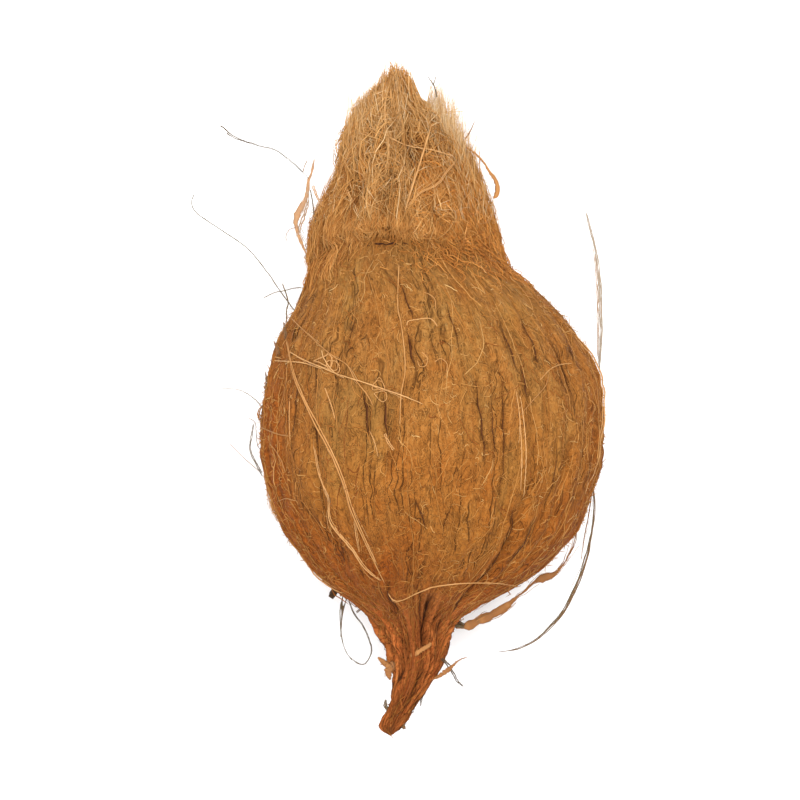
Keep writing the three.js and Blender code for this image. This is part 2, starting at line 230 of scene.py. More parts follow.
def through(rows, count):
    """Count points on a smooth curve through the rows, evenly spaced by row."""
    rows = np.asarray(rows, float)
    place = np.linspace(0, len(rows) - 1, count)
    first = np.minimum(place.astype(int), len(rows) - 2)
    t = (place - first)[:, None]
    before, start = rows[np.maximum(first - 1, 0)], rows[first]
    end, after = rows[first + 1], rows[np.minimum(first + 2, len(rows) - 1)]
    out, into = (end - before) / 2, (after - start) / 2
    square, cube = 3 * (end - start) - 2 * out - into, 2 * (start - end) + out + into
    return start + out * t + square * t**2 + cube * t**3


def run_along(points):
    """The length of the way to each point."""
    return np.concatenate([[0], np.cumsum(np.linalg.norm(np.diff(points, axis=0), axis=1))])


def respaced(points, count):
    """The curve through the points, at count places an equal way apart."""
    dense = through(points, ROUTE_POINTS * len(points))
    run = run_along(dense)
    places = np.linspace(0, run[-1], count)
    return np.stack([np.interp(places, run, column) for column in dense.T], 1)


class Sections:
    """The sections of a body at evenly spaced distances along its skin."""

    def __init__(self, rows, count):
        dense = through(rows, OUTLINE_POINTS)
        girth = (dense[:, 2] - dense[:, 1] + dense[:, 3] - dense[:, 4]) / 4
        run = run_along(np.stack([dense[:, 0], girth], 1))
        places = np.linspace(0, run[-1], count)
        y, left, right, top, bottom = (np.interp(places, run, column)[:, None] for column in dense.T)
        self.length = run[-1]
        self.run = places[:, None]
        self.y, self.x, self.z = y, (left + right) / 2, (top + bottom) / 2
        self.wide = np.maximum((right - left) / 2, 0)
        self.high = np.maximum((top - bottom) / 2, 0)
        self.girth = np.maximum((self.wide + self.high) / 2, 1)


class Body:
    """A closed skin round a row of sections. v runs from 0 to 1 along it, and u is the angle round its axis,
    from -pi / 2 underneath, where the skin's seam is."""

    def __init__(self, rows, around, along, relief):
        self.around, self.along = around, along
        self.levels = np.linspace(0, 1, along + 1)
        self.sections = s = Sections(rows, along + 1)
        self.angle = a = (np.arange(around) * TAU / around - math.pi / 2)[None, :]
        lift = 1 + relief(a, s) / s.girth
        x, z = s.x + s.wide * lift * np.cos(a), s.z + s.high * lift * np.sin(a)
        self.point = np.stack([x, s.y + 0 * a, np.maximum(z, 0)], -1)
        down = np.gradient(self.point, axis=0)
        side = np.roll(self.point, -1, 1) - np.roll(self.point, 1, 1)
        self.normal = unit(np.cross(side, down))
        self.down = unit(down)

    def at(self, v, u, *fields):
        """The values of fields of the skin at v and u."""
        row = np.clip(v, 0, 1) * self.along
        column = ((u + math.pi / 2) / TAU % 1) * self.around
        i, j = np.minimum(row.astype(int), self.along - 1), column.astype(int) % self.around
        f, g = (row - i)[..., None], (column - np.floor(column))[..., None]
        k = (j + 1) % self.around
        return [
            (d[i, j] * (1 - g) + d[i, k] * g) * (1 - f) + (d[i + 1, j] * (1 - g) + d[i + 1, k] * g) * f
            for d in fields
        ]

    def girth_at(self, v):
        return np.interp(v, self.levels, self.sections.girth[:, 0])

    def y_at(self, v):
        return np.interp(v, self.levels, self.sections.y[:, 0])

    def v_at(self, y):
        return np.interp(-np.asarray(y, float), -self.sections.y[:, 0], self.levels)

    def upper_side(self):
        """The skin as a surface that rays can be sent down to."""
        i, j = np.meshgrid(np.arange(self.along), np.arange(self.around), indexing="ij")
        k = (j + 1) % self.around
        quads = np.stack([i, i, i + 1, i + 1], -1) * self.around + np.stack([j, k, k, j], -1)
        return BVHTree.FromPolygons(self.point.reshape(-1, 3).tolist(), quads.reshape(-1, 4).tolist())


def grain_places(angle, s):
    """Places on a cylinder as long as the skin, so that what is even there narrows towards the tips."""
    around = np.stack([np.cos(angle) + 0 * s.run, np.sin(angle) + 0 * s.run], -1) * GRAIN_RADIUS
    return np.concatenate([around, (s.run + 0 * angle)[..., None]], -1)


# ---------------------------------------------------------------- meshes

STRAND_UV_WIDTH = 0.02  # how much of the ramp's length a strand's UVs take
# How thick a fibre is for its width.
ROUND, OVAL, FLATTISH, FLAT, RIBBON = 1, 0.8, 0.7, 0.5, 0.4


def mesh_object(name, points, faces, uvs, material):
    """A piece that rides on the coconut: points in millimetres, quads and triangles, and their UVs."""
    mesh = bpy.data.meshes.new(name)
    mesh.vertices.add(len(points))
    mesh.vertices.foreach_set("co", (points * MM).astype(np.float32).ravel())
    corners = np.concatenate([face.ravel() for face in faces]).astype(np.int32)
    mesh.loops.add(len(corners))
    mesh.loops.foreach_set("vertex_index", corners)
    quads, tris = (len(face) for face in faces)
    starts = np.concatenate([np.arange(quads) * 4, quads * 4 + np.arange(tris) * 3])
    mesh.polygons.add(len(starts))
    mesh.polygons.foreach_set("loop_start", starts.astype(np.int32))
    mesh.polygons.foreach_set("use_smooth", np.ones(len(starts), bool))
    layer = mesh.uv_layers.new(name="OFBake")
    layer.data.foreach_set("uv", np.concatenate([uv.ravel() for uv in uvs]).astype(np.float32))
    mesh.update(calc_edges=True)
    mesh.validate()
    mesh.materials.append(material)
    piece = bpy.data.objects.new(name, mesh)
    bpy.context.scene.collection.objects.link(piece)
    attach(piece, "root")
    return piece


def tubes(name, rings, tips, left, width, material):
    """Closed tubes from rings[n, k, side] and the two tips of each. Their UVs start at left[n, k] on a ring,
    run on by width round it, and go from 0 to 1 along the tube."""
    count, rows, sides = rings.shape[:3]
    points = np.concatenate([rings.reshape(-1, 3), tips[:, 0], tips[:, 1]])
    points[:, 2] = np.maximum(points[:, 2], 0)
    row, side = np.arange(rows - 1)[:, None] * sides, np.arange(sides)
    after = (side + 1) % sides
    start = np.arange(count)[:, None] * rows * sides
    end = start + (rows - 1) * sides
    quad = np.stack([row + side, row + after, row + sides + after, row + sides + side], -1)
    quads = (start[..., None, None] + quad).reshape(-1, 4)
    tip = count * rows * sides + np.arange(count)[:, None] + 0 * side
    first = np.stack([tip, start + after, start + side], -1)
    last = np.stack([tip + count, end + side, end + after], -1)
    tris = np.concatenate([first, last]).reshape(-1, 3)
    left = left[..., None] + side / sides * width
    right = left + width / sides
    step = 1 / (rows + 1)
    level = np.arange(1, rows + 1)[:, None] * step + 0 * left
    corners = ((left[:, :-1], level[:, :-1]), (right[:, :-1], level[:, :-1]))
    corners += ((right[:, 1:], level[:, 1:]), (left[:, 1:], level[:, 1:]))
    quad_uv = np.stack([np.stack(corner, -1) for corner in corners], -2)
    cap_uv = []
    for v, edge, near, far in ((0, step, right[:, 0], left[:, 0]), (1, 1 - step, left[:, -1], right[:, -1])):
        flat = 0 * near
        cap_uv.append(np.stack([(near + far) / 2, flat + v, near, flat + edge, far, flat + edge], -1))
    uvs = quad_uv, np.concatenate(cap_uv)
    return mesh_object(name, points, (quads, tris), uvs, material)


def skin_object(name, body, material, slot, **fields):
    """A body's skin as a mesh, with its fields as vertex attributes and its UVs unrolled from the seam."""
    rings, tips = body.point[None, 1:-1], body.point[None, [0, -1], 0]
    piece = tubes(name, rings, tips, np.zeros((1, body.along - 1)), 1, material)
    for field, values in fields.items():
        flat = np.concatenate([values[1:-1].reshape(-1, *values.shape[2:]), values[[0, -1], 0]])
        kind, key = ("FLOAT_VECTOR", "vector") if flat.ndim == 2 else ("FLOAT", "value")
        layer = piece.data.attributes.new(field, kind, "POINT")
        layer.data.foreach_set(key, flat.astype(np.float32).ravel())
    return piece


def strands(name, paths, wide, thin, flat_to, tone, material, slot, keep=slice(None), sides=3):
    """Closed strands along paths[n, k], pointed at both ends, of which those in keep stay. wide and thin are
    half widths, where a single thin is its share of wide, and flat_to is the way that a flat one faces.
    tone is where a strand's colour lies on its material's ramp, for the strand or for each of its points."""
    wide, flat_to = np.broadcast_to(wide, paths.shape[:2]), np.broadcast_to(flat_to, paths.shape)
    thin = wide * thin if np.isscalar(thin) else thin
    paths, wide, thin, flat_to, tone = (values[keep] for values in (paths, wide, thin, flat_to, tone))
    along = unit(np.gradient(paths, axis=1))
    across = unit(np.cross(along, flat_to))
    rise = np.cross(across, along)
    turn = np.arange(sides) * TAU / sides
    inner = slice(1, -1)
    rings = (
        paths[:, inner, None]
        + across[:, inner, None] * (wide[:, inner, None] * np.cos(turn))[..., None]
        + rise[:, inner, None] * (thin[:, inner, None] * np.sin(turn))[..., None]
    )
    tint = np.clip(tone, 0, 1) * (1 - 2 * STRAND_UV_WIDTH) + STRAND_UV_WIDTH / 2
    tint = np.broadcast_to(tint if tint.ndim == 2 else tint[:, None], wide.shape)[:, inner]
    tubes(name, rings, paths[:, [0, -1]], tint, STRAND_UV_WIDTH, material)


# ---------------------------------------------------------------- materials

# Colours along a ramp: each one's place from 0 to 1, and the colour in eight-bit sRGB numbers.
GOLDEN_SKIN = [(0, (117, 76, 30)), (0.35, (138, 94, 42)), (0.65, (150, 106, 53)), (1, (166, 126, 73))]
ORANGE_SKIN = [(0, (112, 66, 23)), (0.35, (136, 84, 33)), (0.65, (149, 97, 44)), (1, (165, 116, 61))]
RED_SKIN = [(0, (90, 39, 12)), (0.35, (124, 65, 20)), (0.7, (144, 79, 27)), (1, (161, 98, 42))]
RUDDY_TAIL = [(0, (100, 46, 20)), (0.35, (152, 82, 40)), (0.7, (174, 104, 56)), (1, (192, 128, 78))]
LOOSE_CORE = [(0, (70, 38, 14)), (0.5, (122, 76, 34)), (1, (166, 112, 58))]
PITH_CORE = [(0, (158, 98, 40)), (0.5, (190, 126, 60)), (1, (206, 148, 80))]
NUT_FIBRE = [
    (0, (98, 46, 16)), (0.25, (134, 74, 27)), (0.5, (157, 101, 43)), (0.75, (179, 126, 66)),
    (1, (198, 156, 98))]
HUSK_FIBRE = [
    (0, (100, 56, 24)), (0.25, (150, 94, 42)), (0.5, (186, 130, 68)), (0.75, (206, 160, 102)),
    (1, (224, 196, 154))]
PITH_FIBRE = [
    (0, (112, 60, 22)), (0.35, (164, 100, 42)), (0.6, (194, 128, 60)), (0.8, (210, 150, 82)),
    (1, (226, 180, 120))]
# Painted shade: the dark fibre laid in the slits and the crevice, where they are in shadow.
SLIT_SHADE_FIBRE = [(0, (50, 22, 10)), (0.1, (76, 40, 17)), (0.25, (110, 66, 26)), (1, (140, 88, 36))]
LOOSE_FIBRE = [
    (0, (64, 38, 20)), (0.2, (92, 80, 60)), (0.4, (134, 88, 50)), (0.6, (170, 120, 68)),
    (0.74, (196, 150, 98)), (0.88, (158, 120, 88)), (1, (146, 138, 124))]
GREY_STREAK_AND_SHADE = (122, 90, 46)
# Painted shade for the skin's creases, grooves and pits.
SOFT_CREASE_SHADE, DARK_CREASE_SHADE, PIT_BOTTOM_SHADE = (90, 52, 18), (84, 48, 16), (66, 34, 15)
SEAM_GOLD = (176, 118, 56)  # the skin's colour close to the tuft
TAIL_TINT = (1.06, 0.98, 0.78, 1)  # what the colours are multiplied by further down
FLOOR_COLOUR = (0.94, 0.94, 0.94, 1)
SPECULAR = 0.12
ROOT_END = 0.5  # how far along a strand its root's painted shade reaches


def linear(colour):
    """A colour written as eight-bit sRGB numbers, as Blender's linear RGBA."""
    parts = [c / 255 for c in colour]
    return [c / 12.92 if c <= 0.04045 else ((c + 0.055) / 1.055) ** 2.4 for c in parts] + [1]


class Nodes:
    """A material being built from nodes: each call adds a node and returns its output."""

    def __init__(self, name, roughness):
        self.material = bpy.data.materials.new(name)
        self.material.use_nodes = True
        self.tree = self.material.node_tree
        self.shader = self.tree.nodes["Principled BSDF"]
        self.shader.inputs["Roughness"].default_value = roughness
        self.shader.inputs["Specular IOR Level"].default_value = SPECULAR

    def add(self, kind, inputs=(), output=0, **settings):
        node = self.tree.nodes.new("ShaderNode" + kind)
        for key, value in settings.items():
            setattr(node, key, value)
        for key, value in dict(inputs).items():
            if isinstance(value, bpy.types.NodeSocket):
                self.tree.links.new(value, node.inputs[key])
            else:
                node.inputs[key].default_value = value
        return node.outputs[output]

    def field(self, name):
        """One of the skin's fields: its grain is a vector and the others are shares."""
        return self.add("Attribute", attribute_name=name, output="Vector" if name == "grain" else "Fac")

    def ramp(self, value, stops):
        colour = self.add("ValToRGB", {"Fac": value})
        elements = colour.node.color_ramp.elements
        while len(elements) < len(stops):
            elements.new(0.5)
        for element, (place, shade) in zip(elements, stops):
            element.position = place
            element.color = linear(shade)
        return colour

    def vector(self, operation, a, b):
        return self.add("VectorMath", {0: a, 1: b}, operation=operation)

    def math(self, operation, a, b=0.0):
        return self.add("Math", {0: a, 1: b}, operation=operation)

    def times(self, a, b):
        return self.math("MULTIPLY", a, b)

    def weighed(self, *parts):
        """The sum of parts that each have their weight."""
        total = self.times(*parts[0])
        for part, weight in parts[1:]:
            total = self.math("ADD", total, self.times(part, weight))
        return total

    def grain(self, places, across, along, detail=2, warp=0.0, seed=0.0):
        """Noise drawn out along the fibres: across and along are the sizes of its features in millimetres."""
        scaled = self.vector("MULTIPLY", places, (1 / across, 1 / across, 1 / along))
        moved = self.vector("ADD", scaled, (seed, seed, seed))
        return self.add("TexNoise", {"Vector": moved, "Scale": 1, "Detail": detail, "Distortion": warp})

    def range(self, value, low, high, to_low=0.0, to_high=1.0):
        ends = {"Value": value, "From Min": low, "From Max": high, "To Min": to_low, "To Max": to_high}
        return self.add("MapRange", ends)

    def crease(self, value, width):
        """1 along the lines where noise passes its middle, fading out by width to each side."""
        off = self.math("ABSOLUTE", self.math("SUBTRACT", value, 0.5))
        return self.range(off, 0, width, 1, 0)

    def mix(self, share, a, b, mode="MIX"):
        return self.add("Mix", {0: share, 6: a, 7: b}, output=2, data_type="RGBA", blend_type=mode)

    def done(self, colour, height=None, distance=0):
        """The material in a colour, with the bumps of a height that is distance from its foot to its top."""
        self.tree.links.new(colour, self.shader.inputs["Base Color"])
        if height is not None:
            bump = self.add("Bump", {"Height": height, "Distance": distance * MM, "Strength": 1.0})
            self.tree.links.new(bump, self.shader.inputs["Normal"])
        return self.material


def coir_skin():
    """The matted skin of the nut and its tail: soft lumps of pith with short creases, darkened by painted
    shade.
    Its colour turns redder down the tail, and run is how far down the skin a place is."""
    m = Nodes("coir_skin", roughness=0.9)
    straight = m.field("grain")
    drift = m.vector("MULTIPLY", straight, (1 / 7, 1 / 7, 1 / 9))
    drift = m.add("TexNoise", {"Vector": drift, "Scale": 1, "Detail": 1}, output="Color")
    places = m.vector("ADD", straight, m.vector("MULTIPLY", drift, (5, 5, 2)))
    lump = m.grain(places, 1.25, 2.6, warp=0.9)
    felt = m.grain(places, 0.6, 1.1, warp=1.2, seed=3.0)
    streak = m.grain(places, 0.7, 7, warp=0.5, seed=7.0)
    fleck = m.grain(places, 0.35, 0.5, detail=1, warp=0.5, seed=9.0)
    patch = m.grain(straight, 9, 24, detail=3, warp=0.8, seed=5.0)
    mottle = m.grain(straight, 3.6, 9, detail=3, warp=0.8, seed=25.0)
    worm = m.crease(m.grain(places, 1.0, 1.9, detail=0, warp=1.5, seed=21.0), 0.05)
    worm = m.times(worm, m.range(m.grain(places, 1.3, 1.9, detail=0, seed=23.0), 0.47, 0.58))
    split = m.crease(m.grain(places, 1.2, 4.5, detail=1, warp=0.9, seed=43.0), 0.045)
    split = m.times(split, m.range(m.grain(places, 2.2, 4, seed=47.0), 0.49, 0.6))
    groove = m.crease(m.grain(places, 3.4, 60, detail=1, warp=0.3, seed=33.0), 0.028)
    groove = m.times(groove, m.range(m.grain(places, 6, 26, seed=37.0), 0.46, 0.6))
    cord = m.grain(straight, 1.1, 46, warp=0.25, seed=53.0)
    curl = m.crease(m.grain(places, 1.2, 1.8, detail=0, warp=1.8, seed=61.0), 0.035)
    curl = m.times(curl, m.range(m.grain(places, 1.6, 1.8, detail=0, seed=63.0), 0.5, 0.6))
    tone = m.weighed(
        (lump, 0.3), (felt, 0.26), (streak, 0.14), (fleck, 0.12), (mottle, 0.3), (curl, 0.1), (cord, 0.2))
    tone = m.range(tone, 0.44, 0.86)
    golden, orange = m.ramp(tone, GOLDEN_SKIN), m.ramp(tone, ORANGE_SKIN)
    colour = m.mix(m.range(patch, 0.36, 0.66), golden, orange)
    warm, pit, grey = m.field("warm"), m.field("pit"), m.field("grey")
    colour = m.mix(warm, colour, m.ramp(tone, RED_SKIN))
    ruddy = m.ramp(tone, RUDDY_TAIL)
    colour = m.mix(m.field("tail"), colour, ruddy)
    colour = m.mix(m.times(grey, 0.45), colour, linear(GREY_STREAK_AND_SHADE))
    # painted shade: the creases, grooves and slits are darkened where shade falls in them
    soft_dark = m.math("MAXIMUM", m.times(worm, 0.75), m.times(split, 0.8))
    run = m.add("SeparateXYZ", {0: straight}, output="Z")
    soft_dark = m.times(soft_dark, m.range(run, 6, 34, 0.3, 0.56))
    groove = m.times(groove, m.range(run, 8, 36, 0.15, 1))
    colour = m.mix(soft_dark, colour, linear(SOFT_CREASE_SHADE))
    dark = m.math("MAXIMUM", groove, m.times(pit, 0.85))
    colour = m.mix(m.times(dark, 0.7), colour, linear(DARK_CREASE_SHADE))
    colour = m.mix(m.range(pit, 0.8, 1, 0, 0.8), colour, linear(PIT_BOTTOM_SHADE))
    colour = m.mix(m.range(run, 6, 18, 0.45, 0), colour, linear(SEAM_GOLD))
    colour = m.mix(m.range(run, 70, 120), colour, TAIL_TINT, "MULTIPLY")
    height = m.weighed(
        (lump, 0.7), (felt, 0.35), (streak, 0.2), (cord, 0.5), (curl, 0.14), (worm, -0.2), (split, -0.25),
        (groove, -0.7))
    return m.done(colour, height, distance=1.0)


def husk_core_material():
    """Dark fibre deep in the tuft, and orange pith where it is packed close."""
    m = Nodes("husk_core", roughness=0.95)
    places, packed = m.field("grain"), m.field("packed")
    streak = m.grain(places, 0.7, 7, detail=3, warp=0.6)
    felt = m.grain(places, 0.8, 1.4, detail=3, warp=1.2, seed=3.0)
    loose = m.ramp(m.range(streak, 0.3, 0.7), LOOSE_CORE)
    pith = m.ramp(m.range(felt, 0.3, 0.7), PITH_CORE)
    return m.done(m.mix(packed, loose, pith), m.math("ADD", streak, felt), distance=0.9)


def fibre_material(name, stops, root_shade):
    """A strand's colour comes from its place on a ramp, with painted shade that darkens it a little at its
    root.
    """
    m = Nodes(name, roughness=0.7)
    place = m.add("UVMap", uv_map="OFBake")
    across = m.add("SeparateXYZ", {0: place}, output="X")
    along = across.node.outputs["Y"]
    colour = m.ramp(across, stops)
    shade = m.range(along, 0, ROOT_END, root_shade, 1)
    grey = m.add("CombineXYZ", {"X": shade, "Y": shade, "Z": shade})
    return m.done(m.mix(1.0, colour, grey, "MULTIPLY"))


def floor_material():
    m = Nodes("floor_white", roughness=0.9)
    m.shader.inputs["Base Color"].default_value = FLOOR_COLOUR
    return m.material


# ---------------------------------------------------------------- the nut and its tail

# Patches of another colour, those on the nut's left and right sides partly painted shade where they turn from
# the light: angle, place along Y, half width, half length and how strong.
GREY_STAINS_AND_SHADE = [
    (1.93, 4, 2.6, 9, 1),
    (1.83, 4, 1.8, 8, 0.9),
    (2.27, 6, 3, 9, 0.6),
    (1.28, 2, 2, 11, 0.8),
    (0.95, 12, 3, 8, 0.7),
    (1.45, 48, 12, 5, 0.5),
    (0.5, -20, 5, 12, 0.5),
    # painted shade: these three darken the left side, where it turns from the light
    (2.1, 8, 8, 14, 0.8),
    (2.15, -8, 8, 16, 0.8),
    (2.4, -24, 8, 15, 0.7),
    (0.85, 8, 10, 20, 0.6),
    (3.6, 10, 4, 14, 0.7),
    (5.0, -10, 4, 12, 0.6),
    (5.9, 20, 4, 12, 0.6),
]
WARM_STAINS_AND_SHADE = [
    # the first three are partly painted shade, darker as well as redder on the left side
    (2.75, -8, 9, 22, 0.9),
    (2.5, -36, 9, 12, 0.9),
    (2.9, -44, 12, 14, 0.8),
    (1.97, -45, 6, 9, 0.6),
    (1.24, 41, 3.4, 4, 0.8),
    (0.88, 28, 3, 4, 0.9),
    (0.7, 12, 4, 9, 0.5),
    (0.42, -2, 5, 14, 0.5),
    (2.0, 30, 6, 8, 0.35),
    (0.95, -46, 7, 9, 0.4),
    (3.9, -20, 8, 20, 0.5),
    (5.5, -26, 8, 14, 0.5),
]
# Painted shade on the mat's upper side, where the nut turns from the light: x, y, half width, half length
# and how much.
PAINTED_MAT_SHADE = [(-29, -6, 13, 30, 0.18), (-14, -46, 10, 10, 0.16), (32, 8, 11, 22, 0.1)]
UPPER_SIDE = 55  # the height over which that painted shade shows
TAIL_REACH = (46, 64)  # the skin turns into tail between these distances down from the origin
RIB_HEIGHT, LUMP_HEIGHT = 0.7, 0.35  # as in the CAD source
FURROW_END = 5  # how far a furrow fades in and out
FULL_DARK = 1.2  # the depth from which a slit's painted shade is full
CURLS = 4900
LONG_FIBRES = 600
CORDS = 130
FUZZ_HAIRS = 3200
TAIL_FIBRES = 700
FUZZ_END, TAIL_START = -50, -46  # where along Y the fuzz ends and the tail's fibres start
TAIL_ROOTS, TAIL_TIP = 0.96, 0.995  # the shares of its length where tail fibres are last rooted, and end
MAT_START, MAT_END, LONG_END = 0.1, 0.86, 0.84  # the shares of the nut's length that the mat lies between
SHALLOW, DEEP = 0.9, 1.2  # how deep a slit may be for curls, and for longer fibres, to lie over it


def grain_share(angle, s):
    """How much of the grain there is: none where the nut rests."""
    under = np.where(np.sin(angle) < 0, np.hypot(s.x + s.wide * np.cos(angle), s.y), 1e3)
    return smooth(under, *REST_CLEAR)


def furrows(angle, s):
    depth = 0
    for at, start, end, deep in FURROWS:
        along = smooth(s.y, end - FURROW_END, end + FURROW_END)
        along = along - smooth(s.y, start - FURROW_END, start + FURROW_END)
        depth = depth + deep * along * bell(apart(angle, at, s.girth) / FURROW_WIDTH)
    return depth


def tail_share(s):
    return smooth(-s.y, *TAIL_REACH)


def sway_of_slit(at, y):
    """How far a slit strays to the side at a place along Y."""
    return 0.25 * np.sin(y * 0.7 + at * 7)


def drawn_slits():
    """The slits that are listed and those that are drawn."""
    random = np.random.default_rng(61)
    drawn = list(SLITS)
    for _ in range(LOOSE_SLITS):
        at, start = random.uniform(0, TAU), random.uniform(-90, 52)
        reach = random.uniform(4, 13)
        half, deep = random.uniform(0.45, 0.8), random.uniform(0.4, 0.9)
        to = at + random.normal(0, 0.03)
        if start < SMOOTH_SHOULDER or math.sin(at) < 0.3:
            drawn.append((at, to, start, start - reach, half, deep))
    return drawn


ALL_SLITS = drawn_slits()


def slits(angle, s):
    """How deep the slits are, and how dark their painted shade is: from 0 to 1."""
    depth, dark = 0, 0
    for at, to, start, end, half, deep in ALL_SLITS:
        share = np.clip((start - s.y) / (start - end), 0, 1)
        middle = at + (to - at) * share + sway_of_slit(at, s.y) / s.girth
        ends = smooth(s.y, end - 1, end + 3) * smooth(-s.y, -start - 1, -start + 3)
        cut = ends * bell(apart(angle, middle, s.girth) / half)
        depth, dark = depth + deep * cut, dark + min(1, deep / FULL_DARK) * cut
    return depth, np.clip(dark, 0, 1)


def bundles(angle, s):
    """The height of the cords of fibre down the tail, which meet in sharp creases, and those creases."""
    cords = grain_places(angle + 0.006 * s.run, s)
    cords = cords + 1.5 * noise(cords * (0.1, 0.1, 0.08), 8)[..., None]
    wide = np.abs(noise(cords * (0.1, 0.1, 0.016), 6))
    fine = np.abs(noise(cords * (0.24, 0.24, 0.04), 7))
    crease = np.maximum(1 - wide / 0.07, 0.7 * (1 - fine / 0.09))
    rough = 0.5 * noise(cords * (0.5, 0.5, 0.4), 9)
    return 3.6 * wide + 2.2 * fine + rough - 2.2, np.clip(crease, 0, 1)


def nut_relief(angle, s):
    """The CAD nut's ribs, furrows and tail, with the finer grain of its matted fibre."""
    places = grain_places(angle, s)
    ribs = RIB_HEIGHT * np.cos(3 * angle - 1.2)
    lumps = LUMP_HEIGHT * np.sin(2 * angle + s.y / 11) * np.sin(s.y / 17 + angle)
    ridges = 1.2 * noise(places * (0.2, 0.2, 0.015), 1) + 0.8 * noise(places * (0.4, 0.4, 0.03), 2)
    ridges = (1 - 0.85 * smooth(s.y, 26, 50)) * ridges
    matted = 1.1 * np.abs(noise(places * (0.2, 0.2, 0.05), 4))
    matted = matted + 0.9 * np.abs(noise(places * (0.4, 0.4, 0.2), 5)) - 0.6
    body = (ribs + lumps + ridges + matted - furrows(angle, s)) * smooth(s.wide, 8, 34)
    twist = s.y / 16
    wound = 0.5 * np.sin(5 * angle + twist * 2) + 0.4 * np.sin(8 * angle - twist + 1.5)
    tail = (wound + bundles(angle, s)[0]) * tail_share(s) * smooth(s.wide, 0, 6)
    opened = slits(angle, s)[0] * smooth(s.wide, 3, 8)
    return (body + tail - opened) * grain_share(angle, s)


def nut_fields(body):
    """The run of the skin's grain, the painted shade in its slits, furrows and tail creases, and where it is
    warm red-brown, streaked grey and tail, the warm and grey partly painted shade on the nut's sides.
    """
    a, s = body.angle, body.sections
    places = grain_places(a, s)
    pit = np.maximum(slits(a, s)[1], 0.4 * smooth(furrows(a, s), 0.5, 1.6))
    pit = np.maximum(pit, 0.8 * bundles(a, s)[1] * tail_share(s))
    tailward = 0.8 * smooth(-s.y, -10, 70)
    underneath = 0.45 * smooth(-np.sin(a), -0.85, -0.3)
    # painted shade: the left side turns warmer and darker, where it turns from the light
    leftward = 0.2 * smooth(-np.cos(a), 0.3, 0.8) * smooth(-s.y, -40, -10)
    warm = tailward + underneath + 0.3 * noise(places * 0.03, 41) + leftward
    warm = np.clip(warm + 0.6 * spots(a, s.y, s.girth, WARM_STAINS_AND_SHADE), 0, 1)
    streaks = smooth(noise(places * (0.14, 0.14, 0.022), 42), 0.28, 0.5)
    grey = streaks * smooth(noise(places * (0.03, 0.03, 0.02), 43), 0.0, 0.3)
    grey = np.maximum(0.7 * grey, spots(a, s.y, s.girth, GREY_STAINS_AND_SHADE))
    return {"grain": places, "pit": pit, "warm": warm, "grey": grey, "tail": tail_share(s) + 0 * a}


def walk(body, random, v, u, heading, length, steps, wander):
    """Paths that crawl over a skin from v and u. A heading of 0 is down the body and pi / 2 is round it."""
    vs, us = [v], [u]
    curl = random.normal(0, wander, len(v))
    step = length / (steps - 1)
    for _ in range(steps - 1):
        heading = heading + curl / steps + random.normal(0, wander / 3, len(v))
        v = v + np.cos(heading) * step / body.sections.length
        u = u + np.sin(heading) * step / np.maximum(body.girth_at(v), 4)
        vs.append(v)
        us.append(u)
    return np.stack(vs, 1), np.stack(us, 1)


def scattered(body, random, count, low, high):
    """Even places on the skin between two shares of its length, weighted by its girth there."""
    v = np.linspace(0, 1, 400)
    weight = body.girth_at(v) * (v >= low) * (v <= high)
    sums = np.cumsum(weight) / weight.sum()
    order = (np.arange(count) + random.random(count)) / count
    return np.interp(order, sums, v), np.arange(count) * FAN + random.normal(0, 0.2, count)


def lying(body, v, u, height):
    """Points over the skin at a height, with the skin's normals there."""
    point, normal = body.at(v, u, body.point, body.normal)
    normal = unit(normal)
    return point + normal * height[..., None], normal


def off_slits(body, v, u, most):
    """Which paths keep clear of slits deeper than most."""
    return body.at(v, u, slits(body.angle, body.sections)[0][..., None])[0][..., 0].max(1) < most


def mat_tone(place, offset):
    """A fibre's colour on the nut: lighter and darker in patches, darker towards the tail, and with painted
    shade on the left and right of its upper side.
    """
    tone = 0.55 + 0.1 * noise(place / 9, 51) + offset - 0.24 * smooth(-place[:, 1], 15, 70)
    for x, y, half, reach, amount in PAINTED_MAT_SHADE:
        share = bell((place[:, 0] - x) / half, (place[:, 1] - y) / reach)
        tone = tone - amount * share * (place[:, 2] > UPPER_SIDE)
    return tone


def nut_curls(body, random, material):
    """The mat on the skin: short hooked curls that lie every way."""
    count, steps, each = CURLS, 7, (CURLS, 1)
    v, u = scattered(body, random, count, MAT_START, MAT_END)
    clump = smooth(noise_at(v * 26, 5 * np.cos(u), 5 * np.sin(u), 54), 0.2, 0.55)
    along = random.random(count) < 0.65 - 0.4 * clump
    with_grain = random.normal(0, 0.5, count) + math.pi * random.integers(0, 2, count)
    heading = np.where(along, with_grain, random.uniform(-3, 3, count))
    length = random.uniform(2, 6.5, count)
    v, u = walk(body, random, v, u, heading, length, steps, wander=2.2)
    t = np.linspace(0, 1, steps)
    arch = random.uniform(0.05, 0.4, each) * hump(t)
    lifted = (random.random(each) < 0.12 + 0.4 * clump[:, None]) * random.uniform(0.3, 1.2, each) * t**2
    paths, normal = lying(body, v, u, arch + lifted - 0.12)
    size = (0.1 + 0.14 * random.random(each) ** 2) * (1 - 0.3 * t)
    tone = mat_tone(paths[:, 0], random.normal(0.08, 0.16, count)) + 0.12 * clump
    strands("nut_curls", paths, size, OVAL, normal, tone, material, COIR, off_slits(body, v, u, SHALLOW))


